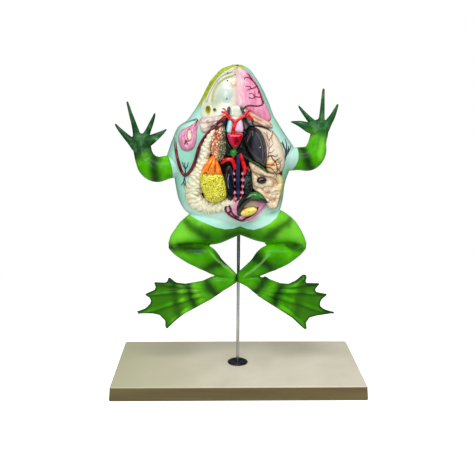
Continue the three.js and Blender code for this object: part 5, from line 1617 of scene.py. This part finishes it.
def oviduct_marks(brush):
    # Painted light: the bottom of the frill is painted paler.
    brush.lay("FDFDDA", brush.z.ramp(0.272, 0.262) * 0.6)
    # The seams between folds are painted pink-brown, partly as painted shade.
    brush.lay("B07C66", brush.mark("seam") * 0.78)
    # Painted shade in the hollows and painted highlight on the crowns, from the surface's curvature.
    curvature_shading = put(brush.tree, "NewGeometry", out="Pointiness")
    brush.lay("C49A84", curvature_shading.ramp(0.49, 0.43) * 0.75)
    brush.lay("FBF8EC", curvature_shading.ramp(0.52, 0.57) * 0.5)
    brush.lay("CC9A80", use(brush.tree, curls, {"Scale": 150.0, "Thin": 0.03}) * 0.32)


frill_cream = gloss_paint("frill_cream", "ECEECB DAD2A8 F5F6E0", scale=90.0, shine=0.24, coat=0.3,
                          over=oviduct_marks)
cast("oviduct_cast", folded_frill(), frill_cream, ["oviduct"], grain=0.7, relax=2,
     marks=fold_seams)

# Kidneys and the vessels between them
# Two long dark kidneys lie either side of the blue postcaval vein, with a chain of pink beads beside it
# and the two red roots of the aorta above. All are painted in high gloss. The beads are pale on their
# crowns and dark red at their waists, partly their own colours and partly painted highlight and shade.
kidney_black = gloss_paint("kidney_black", "0E0F14 06070A 22222E", scale=70.0, shine=0.1, coat=1.0)
right_kidney_top = organ("right_kidney", oval(-14, 301, 8.2, 26, 3), ORGAN_RIM - 2, 7, 8, kidney_black,
                         "kidney_dark", form=ripples(0.12, 0.8))
kidney_green = gloss_paint("kidney_green", "10201C 0A1210 2A5A50", scale=95.0, shine=0.12, coat=1.0)
organ("left_kidney", oval(12.5, 300, 6.8, 22, -2), ORGAN_RIM - 2, 6, 6, kidney_green, "kidney_dark",
      form=ripples(0.2, 1.4, 3))
# Painted highlight: a thin lilac line laid on the right kidney.
lilac = gloss_paint("painted_kidney_highlight", "8A86B0 5A5680 B4B0D4", scale=120.0, shine=0.14)
vein_tree("kidney_highlight_line", [[(-15.2, 313), (-16.4, 304), (-15.8, 294)]], right_kidney_top, 0.65, 0.1, lilac,
          "kidney_dark", least=0.4)
cava_blue = gloss_paint("cava_blue", "22284E 14162E 3C4680", scale=120.0, shine=0.12, coat=0.9)
middle_y = ORGAN_RIM - 7
vessels("postcaval_cast", [
    [(-2.5, middle_y, 338, 2.3), (-2.5, middle_y, 320, 2.6), (-2.5, middle_y, 300, 2.5),
     (-2, middle_y, 281, 2.0)],
], "frog", "vein_dark", cava_blue, ["postcaval_vein"])


def bead_marks(top, foot, count):
    def over(brush):
        turn = (top * MM - brush.z) * (2 * math.pi * count / ((top - foot) * MM))
        wave = turn.calc("COSINE") + (drift(brush.place, 330.0, 1.0) - 0.46) * 3.4
        # Pale on each bead's crown and dark red at its waist: partly the beads' colours, partly painted
        # highlight and shade.
        brush.lay("EFB8C2", wave.ramp(-0.3, -1.0))
        brush.lay("7A0C22", wave.ramp(-0.1, 0.7))
    return over


def beads(name, top, foot, node):
    """A chain of beads between two places [x, z] that stands for its CAD node."""
    count, stations = 5, 60
    path = []
    for i in range(stations + 1):
        share = i / stations
        swell = (1 - math.cos(2 * math.pi * count * share)) / 2
        path.append((
            top[0] + (foot[0] - top[0]) * share ** 3, ORGAN_RIM - 4, top[1] + (foot[1] - top[1]) * share,
            1.1 + (1.5 + 0.4 * math.sin(2.6 * count * share + top[0])) * swell ** 0.7,
        ))
    pink = gloss_paint(name + "_pink", "D04868 A82A48 E88098", scale=160.0, shine=0.14, coat=0.9,
                       over=bead_marks(top[1], foot[1], count))
    points, faces = swept(path, sides=18, steps=1)
    shape(name, points, faces, "frog", "nerve_pink", pink, [node])


beads("right_beads", (-8.6, 318), (-5, 274), "right_nerve_chain")
beads("left_beads", (4.4, 318), (1.5, 274), "left_nerve_chain")
root_y = ORGAN_RIM - 5
vessels("right_aorta_cast", [
    [(-25, root_y + 1, 328, 1.8), (-18, root_y, 333, 2.8), (-10, root_y, 331.5, 2.9), (-7, root_y, 321, 2.2)],
    [(-20, root_y + 1, 331.5, 1.6), (-25, root_y + 1, 334, 1.2), (-28, root_y + 2, 333, 0.8)],
    [(-12, root_y, 332, 2.2), (-9, root_y, 337, 2.2), (-6, root_y + 1, 341, 1.8)],
], "frog", "blood_red", blood_red, ["right_dorsal_aorta"])
vessels("left_aorta_cast", [
    [(1, root_y, 340, 2.0), (3, root_y, 334, 2.8), (5, root_y, 327, 2.9), (7, root_y, 320, 2.7),
     (8, root_y + 2, 314, 2.0)],
    [(7, root_y, 322, 2.0), (12, root_y + 1, 320, 1.6), (16, root_y + 2, 316, 1.0)],
], "frog", "blood_red", blood_red, ["left_dorsal_aorta"])

# Pelvis
# Below the organs a pink cloaca frames the dark green rectum and the yellow bladder, and a dark red
# vein runs round it in a V with a small loop on the frog's right.


def cloaca_edge(places):
    return np.minimum(skin_at(places) - 0.5, TRAY - 3)


def cloaca_marks(brush):
    x, z = brush.x, brush.z
    brush.lay("EDDDB4", z.ramp(0.2590, 0.2625) * x.ramp(0.027, 0.021) * x.ramp(0.000, 0.006) * 0.85)


cloaca_pink = gloss_paint("cloaca_pink", "F0A8C6 D87CA4 F8CADC", scale=120.0, shine=0.16, rim="A8466E",
                          width=0.45, coat=0.8, over=cloaca_marks)
cloaca_top = organ("cloaca", [
    (-28, 269), (-14, 273), (2, 277), (20, 276), (37, 272), (31, 261), (20, 250), (5, 243), (-10, 249),
    (-19, 257),
], cloaca_edge, 2.8, 4, cloaca_pink, "muscle_pink", rings=40, count=180)
bladder_yellow = gloss_paint("bladder_yellow", "F3DB5C E2B93A FAEC98", scale=110.0, shine=0.16, rim="8A5A20",
                             width=0.3, coat=0.8)
bladder_top = organ("urinary_bladder", oval(13, 260.5, 12.6, 6.4, 18), ORGAN_RIM - 5, 6, 6, bladder_yellow,
                    "bladder_yellow", form=ripples(0.25, 0.9), count=110)


def rectum_marks(brush):
    brush.lay("2E8A34", brush.x.ramp(0.012, 0.022) * brush.z.ramp(0.2785, 0.2820) * 0.9)


rectum_green = gloss_paint("rectum_green", "0A1C0E 050E07 143618", scale=90.0, shine=0.1, coat=1.0,
                           over=rectum_marks)
rectum_y = ORGAN_RIM - 7
vessels("rectum_cast", [
    [(0, rectum_y + 3, 257, 3.6), (1, rectum_y + 1, 267, 4.8), (7, rectum_y, 276.5, 5.6),
     (17, rectum_y, 282.5, 5.8), (26, rectum_y, 281, 5.2), (37, rectum_y + 3, 274, 2.6)],
], "frog", "rectum_green", rectum_green, ["rectum"], sides=28)


def pelvic_surface(places):
    return np.minimum(cloaca_top(places), skin_at(places)) - 0.6


pelvic_dark = gloss_paint("pelvic_dark", "48101E 200810 7A1C30", scale=160.0, shine=0.12, coat=0.9)
pelvic = vein_tree("pelvic_loop", [
    [(-20, 266), (-19, 260), (-11, 252.6), (-3, 248), (3.7, 245.6), (10, 249.6), (20, 255.2), (25, 261),
     (26, 265.5)],
    [(-20, 266), (-15, 268), (-12.5, 263), (-10, 257), (-6, 253), (-1, 251)],
    [(-16, 256.5), (-12, 262), (-13.4, 266)],
], pelvic_surface, 1.5, 0.4, pelvic_dark, "vein_maroon", least=1.1)
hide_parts("pelvic_vein")

# Chin pad
# A small cream pad of tissue fills the notch between the two great vessels above the heart.
chin_cream = gloss_paint("chin_cream", "DDE4CE C8D2B6 EBEFE0", scale=90.0, rim="B8BE9A")
points, faces, marks, _ = relief([
    (-14, 404), (-5, 407), (4, 404), (5, 396), (3.5, 391), (-5, 390), (-13.5, 391), (-15, 396),
], sunk_skin, 4.2, 5, count=90, seats=False)
shape("chin_pad", points, faces, "frog", "palate_cream", chin_cream, (), marks)

# Index marks
# Small round dots printed on the parts for a key, without figures.
dot_ink = soft_black("dot_ink", "1A1C20", 0.4)


def dot(name, x, z, surface, body="frog", radius=0.8, finish=dot_ink):
    """A printed dot laid on a surface."""
    angles = np.linspace(0, 2 * math.pi, 20, endpoint=False)
    rings = []
    for scale, lift in ((1.0, -0.1), (1.0, 0.15), (0.7, 0.3), (0.1, 0.34)):
        flat = np.stack([x + radius * scale * np.cos(angles), z + radius * scale * np.sin(angles)], 1)
        rings.append(stood(flat, surface(flat) - lift))
    shape(name, *lofted(np.array(rings)), body, "black_plastic", finish)


def mouth_roof(places):
    return np.minimum(palate_top(places), bulge_top(places))


dot("palate_dot", -17.5, 439.2, mouth_roof, radius=1.0)
dot("jaw_dot", -17.0, 449.6, mouth_roof)
dot("lip_dot", -7.0, 447.7, mouth_roof)
dot("bulge_dot", -18.2, 415, bulge_top, radius=1.0)
dot("bladder_dot", 13, 261, bladder_top, finish=duct_green)
dot("lobe_dot", 27, 351, lobe_top, body="liver_lobe", radius=0.9, finish=chin_cream)

# Studio
# A white floor and soft lamps: a broad one overhead, one in front and two strips at the sides.
white_floor, tree, shader = new_finish("white_floor")
far = place_on(tree).vector("LENGTH").ramp(0.3, 0.75)
mixed(far, (0.9, 0.9, 0.9, 1), BLACK).feed(shader.inputs["Base Color"])
shader.inputs["Roughness"].default_value = 0.9
shader.inputs["Specular IOR Level"].default_value = 0.0
glow = put(tree, "Emission", {"Color": mixed(far, (0.72, 0.72, 0.72, 1), WHITE), "Strength": 1.0})
blank = put(tree, "Emission", {"Color": BLACK, "Strength": 0.0})
lit = put(tree, "MixShader", {0: put(tree, "LightPath", out="Is Camera Ray"), 1: blank, 2: glow})
lit_floor = put(tree, "AddShader", {0: Wire(tree, shader.outputs[0]), 1: lit})
lit_floor.feed(tree.nodes["Material Output"].inputs["Surface"])
floor_mesh = bpy.data.meshes.new("floor")
corners = [(-6, -4, -0.0005), (6, -4, -0.0005), (6, 9, -0.0005), (-6, 9, -0.0005)]
floor_mesh.from_pydata(corners, [], [(0, 1, 2, 3)])
floor_mesh.materials.append(white_floor)
set_down("floor", floor_mesh)

world = bpy.data.worlds.new("studio")
bpy.context.scene.world = world
world.use_nodes = True
tree = world.node_tree
ambient, mirrored_room, white = (
    put(tree, "Background", {"Color": WHITE, "Strength": strength}) for strength in (0.40, 0.12, 1.0)
)
room = put(tree, "MixShader", {0: put(tree, "LightPath", out="Is Glossy Ray"), 1: ambient, 2: mirrored_room})
seen = put(tree, "MixShader", {0: put(tree, "LightPath", out="Is Camera Ray"), 1: room, 2: white})
seen.feed(tree.nodes["World Output"].inputs["Surface"])


def aimed(made, direction):
    """Turns a lamp or a camera to a direction."""
    made.rotation_euler = direction.to_track_quat("-Z", "Y").to_euler()


def lamp(name, at, height, size, watts):
    """A soft lamp that shines on the rod's axis at a height."""
    light = bpy.data.lights.new(name, "AREA")
    light.shape = "RECTANGLE"
    light.size, light.size_y = size
    light.energy = watts
    made = set_down(name, light)
    made.location = at
    aimed(made, Vector((0, 0, height)) - Vector(at))


lamp("overhead", (0.0, -0.95, 1.35), height=0.2, size=(1.2, 0.7), watts=15.5)
lamp("front", (-0.3, -1.6, 0.8), height=0.28, size=(0.4, 0.4), watts=5.0)
lamp("left_strip", (-1.2, -0.5, 0.6), height=0.25, size=(0.25, 1.2), watts=1.8)
lamp("right_strip", (1.2, -0.4, 0.7), height=0.25, size=(0.25, 1.2), watts=2.2)

# Camera
# The view of the photograph: a little above the model, 1.03 m away, nearly straight on.
turn, lift, roll = math.radians(-1.54), math.radians(12.62), math.radians(0.42)
away = Vector((math.sin(turn) * math.cos(lift), -math.cos(turn) * math.cos(lift), math.sin(lift)))
sight = bpy.data.cameras.new("sight")
sight.lens, sight.sensor_width = 53.18, 36.0
camera = set_down("camera", sight)
middle, distance = Vector((-0.0023, 0, 0.2158)), 1.026
camera.location = middle + away * distance
aimed(camera, -away)
camera.rotation_euler.rotate_axis("Z", roll)
bpy.context.scene.camera = camera
bpy.context.scene.view_settings.view_transform = "Standard"
